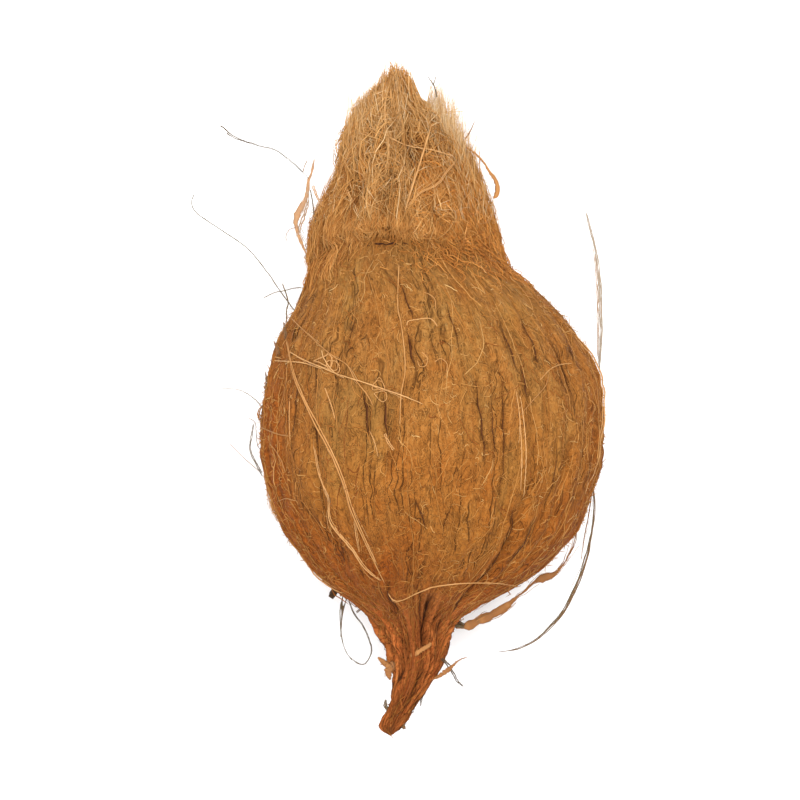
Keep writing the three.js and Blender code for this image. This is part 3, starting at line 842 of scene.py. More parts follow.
def nut_grain_fibres(body, random, material):
    """Longer fibres that follow the grain of the skin."""
    count, steps, each = LONG_FIBRES, 11, (LONG_FIBRES, 1)
    v, u = scattered(body, random, count, MAT_START, LONG_END)
    heading, length = random.normal(0, 0.16, count), random.uniform(8, 30, count)
    v, u = walk(body, random, v, u, heading, length, steps, wander=0.5)
    sway = 0.7 * noise_at(v * 60, u * 9, 0, 52) / np.maximum(body.girth_at(v), 4)
    arch = random.uniform(0.1, 0.4, each) * hump(np.linspace(0, 1, steps))
    paths, normal = lying(body, v, u + sway, arch - 0.1)
    size = random.uniform(0.09, 0.2, each)
    tone = mat_tone(paths[:, 0], random.normal(0.04, 0.12, count))
    keep = off_slits(body, v, u, DEEP)
    strands("nut_grain_fibres", paths, size, FLATTISH, normal, tone, material, COIR, keep)


def slit_shade_fibres(body, material):
    """Painted shade: dark fibre laid along the bottom of each slit, where the slit is in shadow."""
    t = np.linspace(0, 1, 14)
    at, to, start, end, half, deep = (column[:, None] for column in np.array(ALL_SLITS).T)
    y = start + (end - start) * t
    v = body.v_at(y)
    sway = sway_of_slit(at, y) + 0.2 * noise_at(y / 2, at, 0, 59)
    middle = at + (to - at) * t + sway / np.maximum(body.girth_at(v), 3)
    paths, normal = lying(body, v, middle, 0.06 + np.minimum(0.5 * deep, 0.9) + 0 * y)
    size = 0.36 * half * np.minimum(1, deep) * (1 + 0.5 * noise(paths / 2, 60)) * hump(np.clip(t, 0.1, 0.9))
    tone = np.where(deep[:, 0] > 2, 0, np.clip(0.25 - 0.2 * deep[:, 0], 0.1, 1))
    strands("nut_slit_fibres", paths, size, FLAT, normal, tone, material, COIR)


def nut_cords(body, material):
    """Long fibres that keep to the grain, singly and in pairs."""
    random = np.random.default_rng(104)
    count, steps = CORDS, 20
    v, u = scattered(body, random, count, MAT_START, 0.6)
    heading, length = random.normal(0, 0.05, count), random.uniform(25, 75, count)
    v, u = walk(body, random, v, u, heading, length, steps, wander=0.12)
    v = np.minimum(v, LONG_END)
    sway = 0.5 * noise_at(v * 40, u * 7, 0, 55) + 0.2 * noise_at(v * 130, u * 7, 0, 56)
    height = 0.1 + 0.25 * noise_at(v * 90, u * 7, 0, 57)
    paths, normal = lying(body, v, u + sway / np.maximum(body.girth_at(v), 4), height)
    size = random.uniform(0.1, 0.19, (count, 1)) * (1 + 0.3 * noise(paths / 2, 58))
    tone = mat_tone(paths[:, 0], random.normal(0.06, 0.1, count))
    strands("nut_cords", paths, size, OVAL, normal, tone, material, COIR, off_slits(body, v, u, DEEP))


def nut_fuzz(body, material):
    """Hairs a few millimetres long that stand off the skin."""
    random = np.random.default_rng(102)
    count, steps, each = FUZZ_HAIRS, 4, (FUZZ_HAIRS, 1)
    v, u = scattered(body, random, count, MAT_START, body.v_at(FUZZ_END))
    length, heading = random.uniform(1.5, 4.5, count), random.uniform(-3, 3, count)
    v, u = walk(body, random, v, u, heading, length, steps, wander=0.8)
    height = random.uniform(0.6, 2.4, each) * np.linspace(0, 1, steps) ** 1.3 - 0.2
    paths, normal = lying(body, v, u, height)
    size = random.uniform(0.06, 0.12, each)
    strands("nut_fuzz", paths, size, ROUND, normal, random.normal(0.56, 0.12, count), material, COIR)


def tail_fibres(body, material):
    """Coarse fibres that run down the tail, and short ones that stand off it."""
    random = np.random.default_rng(103)
    count, steps = TAIL_FIBRES, 8
    v, u = scattered(body, random, count, body.v_at(TAIL_START), TAIL_ROOTS)
    heading = random.normal(0.05, 0.16, count) + (random.random(count) < 0.2) * random.normal(0, 0.7, count)
    v, u = walk(body, random, v, u, heading, random.uniform(4, 20, count), steps, wander=0.6)
    v = np.minimum(v, TAIL_TIP)
    keep = off_slits(body, v, u, DEEP)
    v, u = v[keep], u[keep]
    each = (len(v), 1)
    t = np.linspace(0, 1, steps)
    stray = (random.random(each) < 0.2) * random.uniform(0.5, 2.4, each) * t**2
    height = random.uniform(0, 0.4, each) * hump(t) - 0.12 + stray
    paths, normal = lying(body, v, u, height)
    size = (0.09 + 0.36 * random.random(each) ** 4) * (1 - 0.3 * t)
    tone = random.normal(0.4, 0.1, len(v))
    strands("tail_fibres", paths, size, FLATTISH, normal, tone, material, COIR)


# ---------------------------------------------------------------- the tuft of husk

# Hollows between the bunches, where the strands get painted shade: angle round the tuft, place along Y,
# half width, half length and how deep.
HOLLOWS = [
    (1.38, 85, 4.5, 6, 0.875),
    (2.23, 72, 3.5, 7, 0.75),
    (1.78, 59, 6, 2.2, 1),
    (1.2, 66, 2.4, 4, 0.5),
    (2.6, 86, 2.5, 6, 0.5),
    (0.2, 88, 3, 6, 0.625),
    (3.3, 78, 3.5, 7, 0.75),
    (4.3, 68, 4, 7, 0.75),
    (4.9, 88, 4, 7, 0.75),
    (5.6, 72, 3.5, 6, 0.625),
    (5.0, 58, 5, 3, 0.75),
]
HOLLOW_DEPTH = 6
HOLLOW_SHADE = 0.6  # painted shade: how much darker strands are in the deepest hollow
# Where the husk is still packed close, as pith with short fibre on it: angle round the tuft and half width.
PACKED = [(0.62, 0.95), (3.95, 0.75)]
BUNCHES = 23
DRAWN = 0.75  # how far the tips of a bunch draw together
SHELL_STRANDS, SHELL_PARTS = 4400, 2
TANGLE_FIBRES = 1700
TANGLE_TOP, TANGLE_FOOT = 0.02, 53  # a share of the core's length, and a place along Y
TUFT_HAIRS = 1400
PITH_CURLS = 4200
PITH_TOP, PITH_FOOT = 92, 48  # where along Y they lie
SEAM_CURLS = 900
FELT_FIBRES = 1500
FLOWING_STRANDS = 700
# Where strands run on down over the shoulder: angle and half width. The left one is twice as likely.
FLOWING_AT = [(2.75, 0.6), (2.75, 0.6), (5.1, 0.5)]
TUFT_TOP = 0.012  # how close to the end of the core strands may come, as a share of its length
SEAM_X, SEAM_Z = -8.5, 57  # the axis of the seam
GROOVE_Y, GROOVE_REACH, GROOVE_FILL = 60.8, 2.8, 0.5  # where fibre bridges the groove between the two skins
CREVICE, CREVICE_Y = 1.83, 56.3  # the angle and the place along Y where tuft and shoulder part
# The parts of the crevice that get painted shade: where each starts and ends round the seam.
CREVICE_PARTS = [(-0.03, 0.17), (-0.16, 0.02), (-0.28, -0.2), (0.19, 0.27)]
FRINGE = 440
FRINGE_REACH = 0.62  # how far the fringe goes on to either side of the crevice's middle
NOTCH = (-1.8, 100.6)  # the foot of the notch between the two peaks
NOTCH_LEFT, NOTCH_RIGHT = (-0.4, -3), (0.22, 3)  # how each side leans above its foot, and below it
NOTCH_SHADE = 0.25  # painted shade: how much darker the left peak is beside the notch
PEAK_ROOTS = 107  # how far up the tuft its last fibres are rooted
PEAK_BREADTH, MOST_BREADTH = 0.3, 3.5  # how much of their sideways distance from a tip the fibres keep
PEAK_ROUND = 0.1  # how fast the tips fall away to the sides
PEAK_STREAKS = 0.36  # how much bunches of them differ in colour
# Each peak's name, tip, number of fibres, the spread of their ends, how low they start, half widths and tone.
PEAK_FIBRES = [
    ("husk_main_peak", (-10.6, 115.8, 57), 900, (2.5, 1.3, 4.5), 72, (0.08, 0.19), 0.66),
    ("husk_main_shoulder", (-17.4, 109.5, 57), 200, (1.3, 1.8, 4), 80, (0.08, 0.17), 0.68),
    ("husk_left_peak", (-24, 104.8, 58), 420, (1.3, 2.2, 5), 76, (0.07, 0.15), 0.74),
    ("husk_pale_peak", (6.2, 107.8, 61), 760, (3.2, 2.8, 4), 76, (0.045, 0.085), 0.92),
    ("husk_right_peak", (13, 94, 60), 280, (2, 3, 5), 70, (0.07, 0.13), 0.7),
]


def packed_share(angle, y):
    """How much of the husk is still packed close, from 0 to 1."""
    zones = [smooth(np.cos(angle - at), math.cos(half), math.cos(half * 0.6)) for at, half in PACKED]
    return np.maximum(*zones) * smooth(-y, -88, -74)


def hollow_share(body, v, u):
    """How deep in a hollow a place is, from 0 to 1."""
    return spots(u, body.y_at(v), body.girth_at(v), HOLLOWS)


def bunch_phase(angle, y):
    """The fibres draw together where the cosine of this is 1."""
    return BUNCHES * angle + 2.4 * noise_at(2.2 * np.cos(angle), 2.2 * np.sin(angle), y / 16, 14)


def tuft_relief(angle, s):
    """The lobes and bunches of the tuft's core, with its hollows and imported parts."""
    lobes = 2.2 * np.cos(5 * angle + 0.6 + s.y / 60) * smooth(s.y, 52, 76)
    lobes = lobes + 0.9 * np.cos(bunch_phase(angle, s.y)) * smooth(s.wide, 5, 14)
    places = grain_places(angle, s)
    rough = 1.2 * noise(places * (0.14, 0.14, 0.05), 11) + 0.8 * noise(places * (0.4, 0.4, 0.12), 12)
    packed = packed_share(angle, s.y)
    hollow = HOLLOW_DEPTH * spots(angle, s.y, s.girth, HOLLOWS)
    return (lobes + rough) * (1 - 0.7 * packed) + 1.6 * packed - hollow - 2.2


def rooted(body, random, count, low, high, clear=0.45):
    """Places on the tuft between two heights along Y, but few in its hollows."""
    v, u = scattered(body, random, count, body.v_at(high), body.v_at(low))
    keep = hollow_share(body, v, u) < clear + random.normal(0, 0.15, count)
    return v[keep], u[keep]


def bunched(v, u, spread, seed):
    """A number for each place that is much the same for neighbours in one bunch of fibre."""
    return noise_at(np.cos(u) / spread, np.sin(u) / spread, v * 9 / spread, seed)


def notch_side(y, slope, under):
    """Where a side of the notch between the peaks is at y. slope is its lean above the notch's foot, and
    under is its lean below it."""
    over = y - NOTCH[1]
    return NOTCH[0] + np.where(over > 0, slope * over, under * over)


def off_notch(paths):
    """Which strands keep out of the notch between the two peaks."""
    x, y = paths[..., 0], paths[..., 1]
    inside = (y > NOTCH[1]) & (x > notch_side(y, *NOTCH_LEFT)) & (x < notch_side(y, *NOTCH_RIGHT))
    return ~inside.any(1)


def few_over(sunk, seed, share):
    """Which strands stay, when a share of those that cross the middle of a hollow is left out."""
    crossing = sunk.max(1) > 0.5
    return ~crossing | (np.random.default_rng(seed).random(len(sunk)) > share)


def shell_strands(body, random, material, part):
    """Long strands that run up the tuft in bunches, in layers over its core."""
    steps = 9
    v, u = rooted(body, random, SHELL_STRANDS // SHELL_PARTS, low=46, high=100)
    keep = random.random(len(v)) > 0.9 * packed_share(u, body.y_at(v))
    start, turn = v[keep], u[keep]
    count, each = len(start), (len(start), 1)
    heading = math.pi + 0.5 * bunched(start, turn, 0.2, 221) + random.normal(0, 0.13, count)
    length = random.uniform(14, 38, count)
    v, u = walk(body, random, start, turn, heading, length, steps, wander=0.35)
    v = np.maximum(v, TUFT_TOP)
    t = np.linspace(0, 1, steps)
    phase = bunch_phase(u, body.y_at(v))
    u = u - DRAWN / BUNCHES * np.sin(phase) * smooth(t, 0, 0.7)
    layer = random.uniform(0.2, 2.6, each)
    free = (random.random(each) < 0.3) * random.uniform(0, 1.6, each)
    height = layer * smooth(t, -0.1, 0.4) + free * t**2 + 0.5 * np.cos(phase) - 0.4
    paths, normal = lying(body, v, u, height)
    size = (0.09 + 0.14 * random.random(each) ** 1.5) * (1 - 0.4 * t)
    tone = 0.4 + 0.16 * bunched(start, turn, 0.12, 223) + 0.07 * layer[:, 0] + random.normal(0, 0.075, count)
    tone = tone + 0.08 * np.cos(phase[:, steps // 2])
    tone = tone + 0.14 * smooth(paths[:, -1, 1], 80, 108) - 0.08 * smooth(-paths[:, 0, 1], -64, -46)
    # painted shade: strands rooted low on the left side are darker, where that side turns from the light
    tone = tone - 0.12 * smooth(-np.cos(u[:, 0]), 0.2, 0.8) * smooth(-paths[:, 0, 1], -84, -62)
    sunk = hollow_share(body, v, u)
    tone = tone[:, None] - HOLLOW_SHADE * sunk
    keep = few_over(sunk, 217 + part, 0.75) & off_notch(paths)
    strands(f"husk_strands_{part}", paths, size, OVAL, normal, tone, material, HUSK, keep)


def tangle(body, material):
    """Fine fibres that cross and loop over the strands."""
    random = np.random.default_rng(212)
    steps = 9
    v, u = rooted(body, random, TANGLE_FIBRES, low=54, high=92, clear=0.6)
    keep = random.random(len(v)) > 0.7 * packed_share(u, body.y_at(v))
    start, turn = v[keep], u[keep]
    count, each = len(start), (len(start), 1)
    upward = random.random(count) < 0.8
    heading = np.where(upward, math.pi + random.normal(0, 0.35, count), random.uniform(-3, 3, count))
    length = random.uniform(10, 34, count)
    v, u = walk(body, random, start, turn, heading, length, steps, wander=0.5)
    v = np.clip(v, TANGLE_TOP, float(body.v_at(TANGLE_FOOT)))
    t = np.linspace(0, 1, steps)
    height = random.uniform(0.8, 3.2, each) * hump(np.minimum(0.15 + t, 0.85))
    height = height + 0.8 * bunched(start, turn, 0.15, 224)[:, None] - 0.2
    paths, normal = lying(body, v, u, height)
    size = random.uniform(0.06, 0.12, each)
    tone = 0.54 + 0.14 * bunched(start, turn, 0.2, 225) + random.normal(0, 0.08, count)
    keep = few_over(hollow_share(body, v, u), 219, 0.65) & off_notch(paths)
    strands("husk_tangle", paths, size, ROUND, normal, tone, material, HUSK, keep)


def tuft_fuzz(body, material):
    """Fine pale hairs that stand off the tuft."""
    random = np.random.default_rng(218)
    steps = 5
    v, u = rooted(body, random, TUFT_HAIRS, low=62, high=106)
    count, each = len(v), (len(v), 1)
    heading, length = math.pi + random.normal(0, 0.5, count), random.uniform(4, 11, count)
    v, u = walk(body, random, v, u, heading, length, steps, wander=0.6)
    height = 1 + random.uniform(0.5, 3.4, each) * np.linspace(0, 1, steps) ** 1.2
    paths, normal = lying(body, np.maximum(v, TUFT_TOP), u, height)
    size, tone = random.uniform(0.045, 0.085, each), random.normal(0.8, 0.1, count)
    strands("husk_fuzz", paths, size, ROUND, normal, tone, material, HUSK, off_notch(paths))


def pith_curls(tuft, random, material):
    """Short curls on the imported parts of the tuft."""
    steps = 6
    v, u = scattered(tuft, random, PITH_CURLS, tuft.v_at(PITH_TOP), tuft.v_at(PITH_FOOT))
    keep = packed_share(u, tuft.y_at(v)) > random.uniform(0.05, 0.6, len(v))
    v, u = v[keep], u[keep]
    count, each = len(v), (len(v), 1)
    along = random.random(count) < 0.6
    drift = np.where(np.cos(u) > 0, -0.55, 0.55)
    heading = np.where(along, math.pi + drift + random.normal(0, 0.3, count), random.uniform(-3, 3, count))
    length = random.uniform(3, 10, count) + 6 * along * random.random(count)
    v, u = walk(tuft, random, v, u, heading, length, steps, wander=np.where(along, 0.6, 1.8))
    height = random.uniform(0.2, 1.8, each) * hump(np.linspace(0, 1, steps)) - 0.1
    paths, normal = lying(tuft, v, u, height)
    size, tone = random.uniform(0.08, 0.18, each), random.normal(0.6, 0.12, count)
    strands("husk_pith_curls", paths, size, ROUND, normal, tone, material, HUSK)


def seam_curls(nut, tuft, random, material):
    """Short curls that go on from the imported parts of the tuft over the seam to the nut."""
    count, steps, each = SEAM_CURLS, 7, (SEAM_CURLS, 1)
    at, half = np.array(PACKED)[random.integers(0, len(PACKED), count)].T
    u = at + half * random.normal(0, 0.55, count)
    foot = random.uniform(48, 62, count)
    head = foot + random.uniform(-7, 9, count)
    paths, out = bridged(nut, tuft, random, u, foot, head, random.uniform(0.3, 1.6, count), steps)
    paths = paths + noise_vectors(paths / 2.2, 231) * 0.5
    size, tone = random.uniform(0.08, 0.16, each), random.normal(0.5, 0.14, count)
    strands("husk_seam_curls", paths, size, ROUND, out, tone, material, HUSK)


def in_groove(y):
    """How close a place along Y is to the groove between the two skins, from 0 to 1."""
    return bell((y - GROOVE_Y) / GROOVE_REACH)


def over_both(nut, tuft, y, turn):
    """Points and normals on the outer one of the two skins, eased where they cross."""
    low, low_out = nut.at(nut.v_at(y), turn, nut.point, nut.normal)
    high, high_out = tuft.at(tuft.v_at(y), turn, tuft.point, tuft.normal)
    inner, outer = (np.hypot(point[..., 0] - SEAM_X, point[..., 2] - SEAM_Z) for point in (low, high))
    share = 1 / (1 + np.exp((inner - outer) / 0.7))[..., None]
    out = unit(low_out * (1 - share) + high_out * share)
    return low * (1 - share) + high * share + out * (GROOVE_FILL * in_groove(y))[..., None], out


def wandering(random, u, steps, jog, lean):
    """Angles along paths that set out at u, jog a little at each step and lean to one side or the other."""
    jogs = np.cumsum(random.normal(0, jog, (len(u), steps)), 1)
    return u[:, None] + jogs + random.normal(0, lean, (len(u), 1)) * np.linspace(0, 1, steps)


def bridged(nut, tuft, random, u, foot, head, rise, steps):
    """Paths that leave the nut's shoulder at foot along Y and run up over the tuft to head."""
    t = np.linspace(0, 1, steps)
    y = foot[:, None] + (head - foot)[:, None] * t
    skin, out = over_both(nut, tuft, y, wandering(random, u, steps, 0.025, 0.1))
    height = rise[:, None] * hump(np.minimum(t, 0.8)) - 0.15
    return skin + out * height[..., None], out


def crevice(nut, tuft, material):
    """Painted shade: dark fibre laid where the tuft stands off the shoulder, in the shadow under the fringe."""
    t = np.linspace(0, 1, 10)
    turn = CREVICE + np.array(CREVICE_PARTS) @ np.stack([1 - t, t])
    y = CREVICE_Y + 0.7 * noise_at(turn * 14, 0, 0, 229)
    paths, out = over_both(nut, tuft, y, turn)
    size = 0.5 * hump(np.clip(t, 0.06, 0.94)) * (1 + 0.6 * noise(paths / 1.5, 230))
    tone = np.zeros(len(turn))
    strands("husk_crevice", paths + 0.1 * out, size, RIBBON, out, tone, material, COIR)


def fringe(nut, tuft, material):
    """Fibres that hang over the crevice."""
    random = np.random.default_rng(216)
    count, steps, each = FRINGE, 8, (FRINGE, 1)
    t = np.linspace(0, 1, steps)
    u = CREVICE + FRINGE_REACH * random.uniform(-1, 1, count)
    ragged = np.abs(random.normal(0, 1.2, count) + 1.6 * noise_at(u * 9, 0, 0, 233))
    foot = CREVICE_Y + 0.4 + ragged - 1.6 * np.abs(u - CREVICE) / FRINGE_REACH
    y = foot[:, None] + random.uniform(7, 18, each) * t
    paths, out = over_both(nut, tuft, y, wandering(random, u, steps, 0.012, 0.16))
    height = random.uniform(0.3, 1.7, each) * np.sqrt(1 - t) - 0.1 + 0.8 * in_groove(y)
    size = (0.08 + 0.12 * random.random(each) ** 1.5) * (0.7 + 0.3 * t)
    tone = 0.46 + 0.26 * noise(paths[:, 0] / 3, 232) + random.normal(0, 0.09, count)
    paths = paths + out * height[..., None]
    strands("husk_fringe", paths[:, ::-1], size[:, ::-1], OVAL, out[:, ::-1], tone, material, HUSK)


def felt(nut, tuft, random, material):
    """Short fibre that joins the tuft to the shoulder all round."""
    u = np.arange(FELT_FIBRES) * FAN + random.normal(0, 0.2, FELT_FIBRES)
    u = u[random.random(len(u)) > 0.8 * smooth(np.cos(u - CREVICE), math.cos(0.32), math.cos(0.12))]
    count, steps = len(u), 7
    foot = 60 - 10 * random.random(count) ** 1.5
    rise = random.uniform(0.1, 1.5, count)
    paths, out = bridged(nut, tuft, random, u, foot, foot + random.uniform(4, 13, count), rise, steps)
    size = (0.09 + 0.1 * random.random((count, 1)) ** 2) * (1 - 0.3 * np.linspace(0, 1, steps))
    tone = 0.6 + 0.1 * noise(paths[:, 0] / 9, 228) + random.normal(0, 0.07, count)
    strands("husk_felt", paths, size, OVAL, out, tone, material, HUSK)


def flowing_strands(nut, tuft, random, material):
    """Strands that run on from the tuft down over the nut, most of them on the left."""
    count, steps = FLOWING_STRANDS, 10
    at, half = np.array(FLOWING_AT)[random.integers(0, len(FLOWING_AT), count)].T
    u = at + half * random.uniform(-1, 1, count)
    edge = 1 - np.abs(u - at) / half
    foot = 57 - (4 + 14 * np.sqrt(edge)) * random.random(count) ** 0.7
    bunch = np.cos(bunch_phase(u, 60))
    rise = random.uniform(0.1, 1.5, count) + 0.5 * bunch
    paths, out = bridged(nut, tuft, random, u, foot, foot + random.uniform(14, 34, count), rise, steps)
    size = (0.1 + 0.16 * random.random((count, 1)) ** 1.5) * (1 - 0.3 * np.linspace(0, 1, steps))
    tone = 0.22 + 0.1 * bunch + 0.1 * rise + random.normal(0, 0.08, count)
    strands("husk_flowing", paths[:, ::-1], size[:, ::-1], OVAL, out[:, ::-1], tone, material, HUSK)


def peak_roots(body, random, peak, count, low):
    """The roots nearest to a peak, with the way out of the skin and the way up it there."""
    v, u = rooted(body, random, count * 4, low, PEAK_ROOTS, clear=0.4)
    root, out, down = body.at(v, u, body.point, body.normal, body.down)
    near = np.linalg.norm((root - peak) * (1.2, 0.25, 0.6), axis=1)
    chosen = np.argsort(near + random.uniform(0, 6, len(near)))[:count]
    return root[chosen], unit(out[chosen]), -unit(down[chosen])


def peak_fibres(body, random, name, tip, count, spread, low, thick, tint, material):
    """Fibres that rise to one of the peaks and stand free there."""
    t = np.linspace(0, 1, 7)[None, :, None]
    peak, left_of_notch = np.array(tip), tip[0] < NOTCH[0]
    root, out, along = peak_roots(body, random, peak, count, low)
    aim = peak + random.normal(0, 1, (count, 3)) * spread
    aim[:, 0] += np.clip(PEAK_BREADTH * (root[:, 0] - peak[0]), -MOST_BREADTH, MOST_BREADTH)
    aim[:, 1] -= PEAK_ROUND * (aim[:, 0] - peak[0]) ** 2
    to_peak = aim - root
    reach = np.linalg.norm(to_peak, axis=1)
    length = np.minimum(random.uniform(10, 34, count), reach * random.uniform(0.6, 1.03, count))
    aim = unit(unit(to_peak) * 1.4 + along * 0.5)
    bend = random.normal(0, 0.06, (count, 1, 3))
    paths = root[:, None] - out[:, None] * (1 - t) + length[:, None, None] * (aim[:, None] * t + bend * t**2)
    paths = paths + noise_vectors(paths / 6, 226) * 0.8 * t
    cut, side = (np.minimum, NOTCH_LEFT) if left_of_notch else (np.maximum, NOTCH_RIGHT)
    paths[..., 0] = cut(paths[..., 0], notch_side(paths[..., 1], *side))
    size = random.uniform(*thick, (count, 1)) * (1 - 0.45 * t[..., 0])
    tone = random.normal(tint, 0.11, count) + PEAK_STREAKS * noise(root / (0.9, 40, 0.9), 234)
    if left_of_notch:
        tone = tone - NOTCH_SHADE * smooth(paths[:, -1, 0], NOTCH[0] - 5, NOTCH[0] - 1)
    face = random.normal(0, 1, (count, 1, 3))
    strands(name, paths, size, ROUND, face, tone, material, HUSK)


# ---------------------------------------------------------------- loose strands, listed one by one

THREAD_HALF = 0.17  # the half width of one thread of a strand
MOST_THREADS = 6
HAND_SIDES, LUMPY_SIDES = 5, 9
HAND_STEPS = 48
FRAY_STEPS = 9
# A strand's name, tone, half width up, half width across, which may be given for each point, and its points.
# Then the most threads that it is laid from, how many finer ones fray off it, and how lumpy it is.
FIELDS = "name tone thin wide points threads frays lumps"
Strand = collections.namedtuple("Strand", FIELDS, defaults=(MOST_THREADS, 0, 0))
# Strands that lie on the nut, as the camera sees them: x, y and how high each point is over what is under it.
LYING = [
    Strand("pale_strand", 0.64, 0.2, [0.2, 0.2, 0.19, 0.31, 0.39, 0.41, 0.39, 0.36, 0.31, 0.19], [
        (-46.2, 32, 0.2), (-45.2, 26, 0.3), (-44, 20, 0.3), (-42.4, 14.5, 0.3), (-38.2, 5.4, 0.3),
        (-31.4, -7.4, 0.3), (-27.4, -16.8, 0.3), (-24.4, -26.6, 0.3), (-19, -39.2, 0.2),
        (-13.6, -51, 0)], threads=2, frays=12),
    Strand("pale_strand_side", 0.68, 0.18, [0.14, 0.19, 0.26, 0.19, 0.28, 0.4, 0.34, 0.28, 0.15], [
        (-36.8, -2.8, 0), (-36, -8.6, 0.3), (-34.6, -15.4, 0.2), (-32, -22.4, 0.1), (-31.8, -28.2, 0.2),
        (-29.8, -32.2, 0.3), (-25.8, -37, 0.3), (-20, -45, 0.3), (-14, -49.4, 0)], threads=2, frays=14),
    Strand("pale_strand_split", 0.64, 0.2, [0.15, 0.3, 0.15], [(-24, -28, 0.2), (-23.4, -33, 0.3),
        (-22.4, -40, 0)]),
    Strand("cross_upper", 0.72, 0.18, [0.13, 0.19, 0.21, 0.16, 0.2, 0.22, 0.12], [(-44.6, 23.2, 0.4),
        (-39.6, 20.4, 0.4), (-34.4, 18.2, 0.5), (-28.6, 15.8, 0.6), (-19.8, 13, 0.6), (-9.4, 9.4, 0.4),
        (-2.4, 6.6, 0)], frays=5),
    Strand("cross_lower", 0.68, 0.18, [0.17, 0.21, 0.24, 0.17], [(-49.6, 20.4, 0.3), (-44.2, 20, 0.3),
        (-39.4, 19.4, 0.5), (-34, 17.6, 0.4)], frays=4),
    Strand("cross_stub", 0.66, 0.22, [0.18, 0.24, 0.18], [(-49.4, 21.6, 0.3), (-48.4, 21.4, 0.5),
        (-47.2, 21, 0.3)]),
    Strand("fallen_hair", 0.64, 0.16, [0.16, 0.17, 0.18, 0.16, 0.18, 0.22, 0.12], [(-44.2, 33.8, 0.4),
        (-35.5, 25.7, 0.4), (-30.4, 21.4, 0.6), (-26.2, 18.8, 0.5), (-23.4, 14, 0.6), (-19.8, 9.4, 0.4),
        (-18, 6, 0)], frays=6),
    Strand("knot_tail", 0.7, 0.15, 0.15, [(-34, 23.4, 0.5), (-33.2, 20.6, 1), (-30, 16.4, 1),
        (-27, 14.8, 0.4)]),
    Strand("long_thread", 0.66, 0.17, 0.19, [(-10.2, 50, 0.1), (-10.6, 37, 0.3), (-9.6, 31.6, 0.3),
        (-8.6, 23.4, 0.3), (-8.4, 16.4, 0.3), (-9.6, 9.4, 0.3), (-9.9, 0, 0)]),
    Strand("hook", 0.68, 0.18, 0.2, [(1.6, 30.4, 0), (-0.6, 32.8, 0.4), (-4.6, 32.6, 0.4), (-7.4, 32, 0.4),
        (-7.8, 30.6, 0.2)]),
    Strand("pair_left", 0.68, 0.16, [0.12, 0.2, 0.2, 0.12], [(25.6, 11, 0.1), (26.6, 4, 0.2), (27.4, -8, 0.2),
        (27.2, -20, 0)], threads=1, frays=5),
    Strand("pair_right", 0.66, 0.16, [0.12, 0.18, 0.18, 0.1], [(26.8, 9.6, 0.1), (28, 2, 0.2),
        (28.8, -9, 0.2), (28.2, -22, 0)], threads=1, frays=5),
    Strand("bottom_hair", 0.66, 0.2, [0.14, 0.17, 0.18, 0.2, 0.23, 0.23, 0.21, 0.18, 0.16, 0.1], [
        (-13.6, -52.4, 0.2), (-12.2, -54.6, 0.5), (-9.6, -54.9, 0.7), (-5, -52.6, 1), (-2, -51.2, 1.1),
        (0.5, -50.3, 1), (7.4, -49.4, 0.9), (13.4, -49.2, 0.8), (20.7, -49.6, 0.9),
        (28, -51.2, 1.4)], threads=1, frays=4),
    Strand("edge_thread", 0.6, 0.16, 0.2, [(-54, -0.6, 0.5), (-50.4, -1.9, 0.4), (-47.4, -2.8, 0.3),
        (-44.4, -3.2, 0)]),
    Strand("edge_thread_low", 0.56, 0.16, 0.18, [(-50.8, -5.6, 0.2), (-48.6, -8.2, 0.3), (-47, -10.8, 0.3),
        (-45.8, -14.4, 0)]),
    Strand("side_hair", 0.6, 0.16, 0.18, [(-44.2, 9, 0), (-44.3, 2, 0.3), (-44, -5, 0)]),
    Strand("short_hair", 0.66, 0.18, 0.2, [(-33, 11.8, 0), (-31, 6.4, 0.4), (-29.8, 1.8, 0)]),
    Strand("dark_groove_hair", 0.7, 0.2, 0.3, [(-14.6, -2, 0), (-13.4, -5, 0.4), (-11.4, -7.6, 0)]),
    Strand("low_curl", 0.56, 0.14, 0.16, [(14.4, -49.4, 0.2), (15.6, -46.6, 0.5), (17, -46, 0.5),
        (17.6, -47.8, 0.4), (16.6, -49.6, 0.2)]),
    Strand("low_left_thread", 0.6, 0.12, [0.1, 0.14, 0.14, 0.1], [(-48.6, -24, 0), (-45.6, -22.8, 0.5),
        (-43.4, -23.2, 0.4), (-42, -23.4, 0)]),
    Strand("groove_thread", 0.7, 0.14, [0.12, 0.18, 0.16, 0.1], [(-19.2, -1.4, 0), (-18, -4, 0.4),
        (-17, -7.4, 0.4), (-16.6, -9.4, 0)]),
    Strand("top_hook", 0.62, 0.14, [0.1, 0.16, 0.18, 0.16, 0.1], [(-2.6, 41, 0), (-1, 40.4, 0.4),
        (0.6, 39, 0.5), (1, 37, 0.3), (0.8, 35.6, 0)]),
    Strand("centre_curl", 0.64, 0.14, 0.15, [(-3.4, 22.6, 0), (-1.6, 21, 0.4), (-2, 18.6, 0.5),
        (-3.8, 18.2, 0.4), (-4.6, 20, 0.3)]),
    Strand("centre_hook", 0.64, 0.14, 0.15, [(0.6, 19.6, 0), (2.6, 20.6, 0.4), (4.4, 19, 0.4),
        (4.2, 16.4, 0.2)]),
    Strand("right_branch", 0.62, 0.14, [0.1, 0.16, 0.18, 0.12], [(33, 14, 0), (36.6, 17.6, 0.5),
        (40, 19, 0.5), (43.6, 19.4, 0)]),
    Strand("right_branch_low", 0.6, 0.14, [0.1, 0.15, 0.15, 0.1], [(27, 3.4, 0), (31, 8, 0.5),
        (35, 12.6, 0.5), (36, 16.6, 0)]),
]
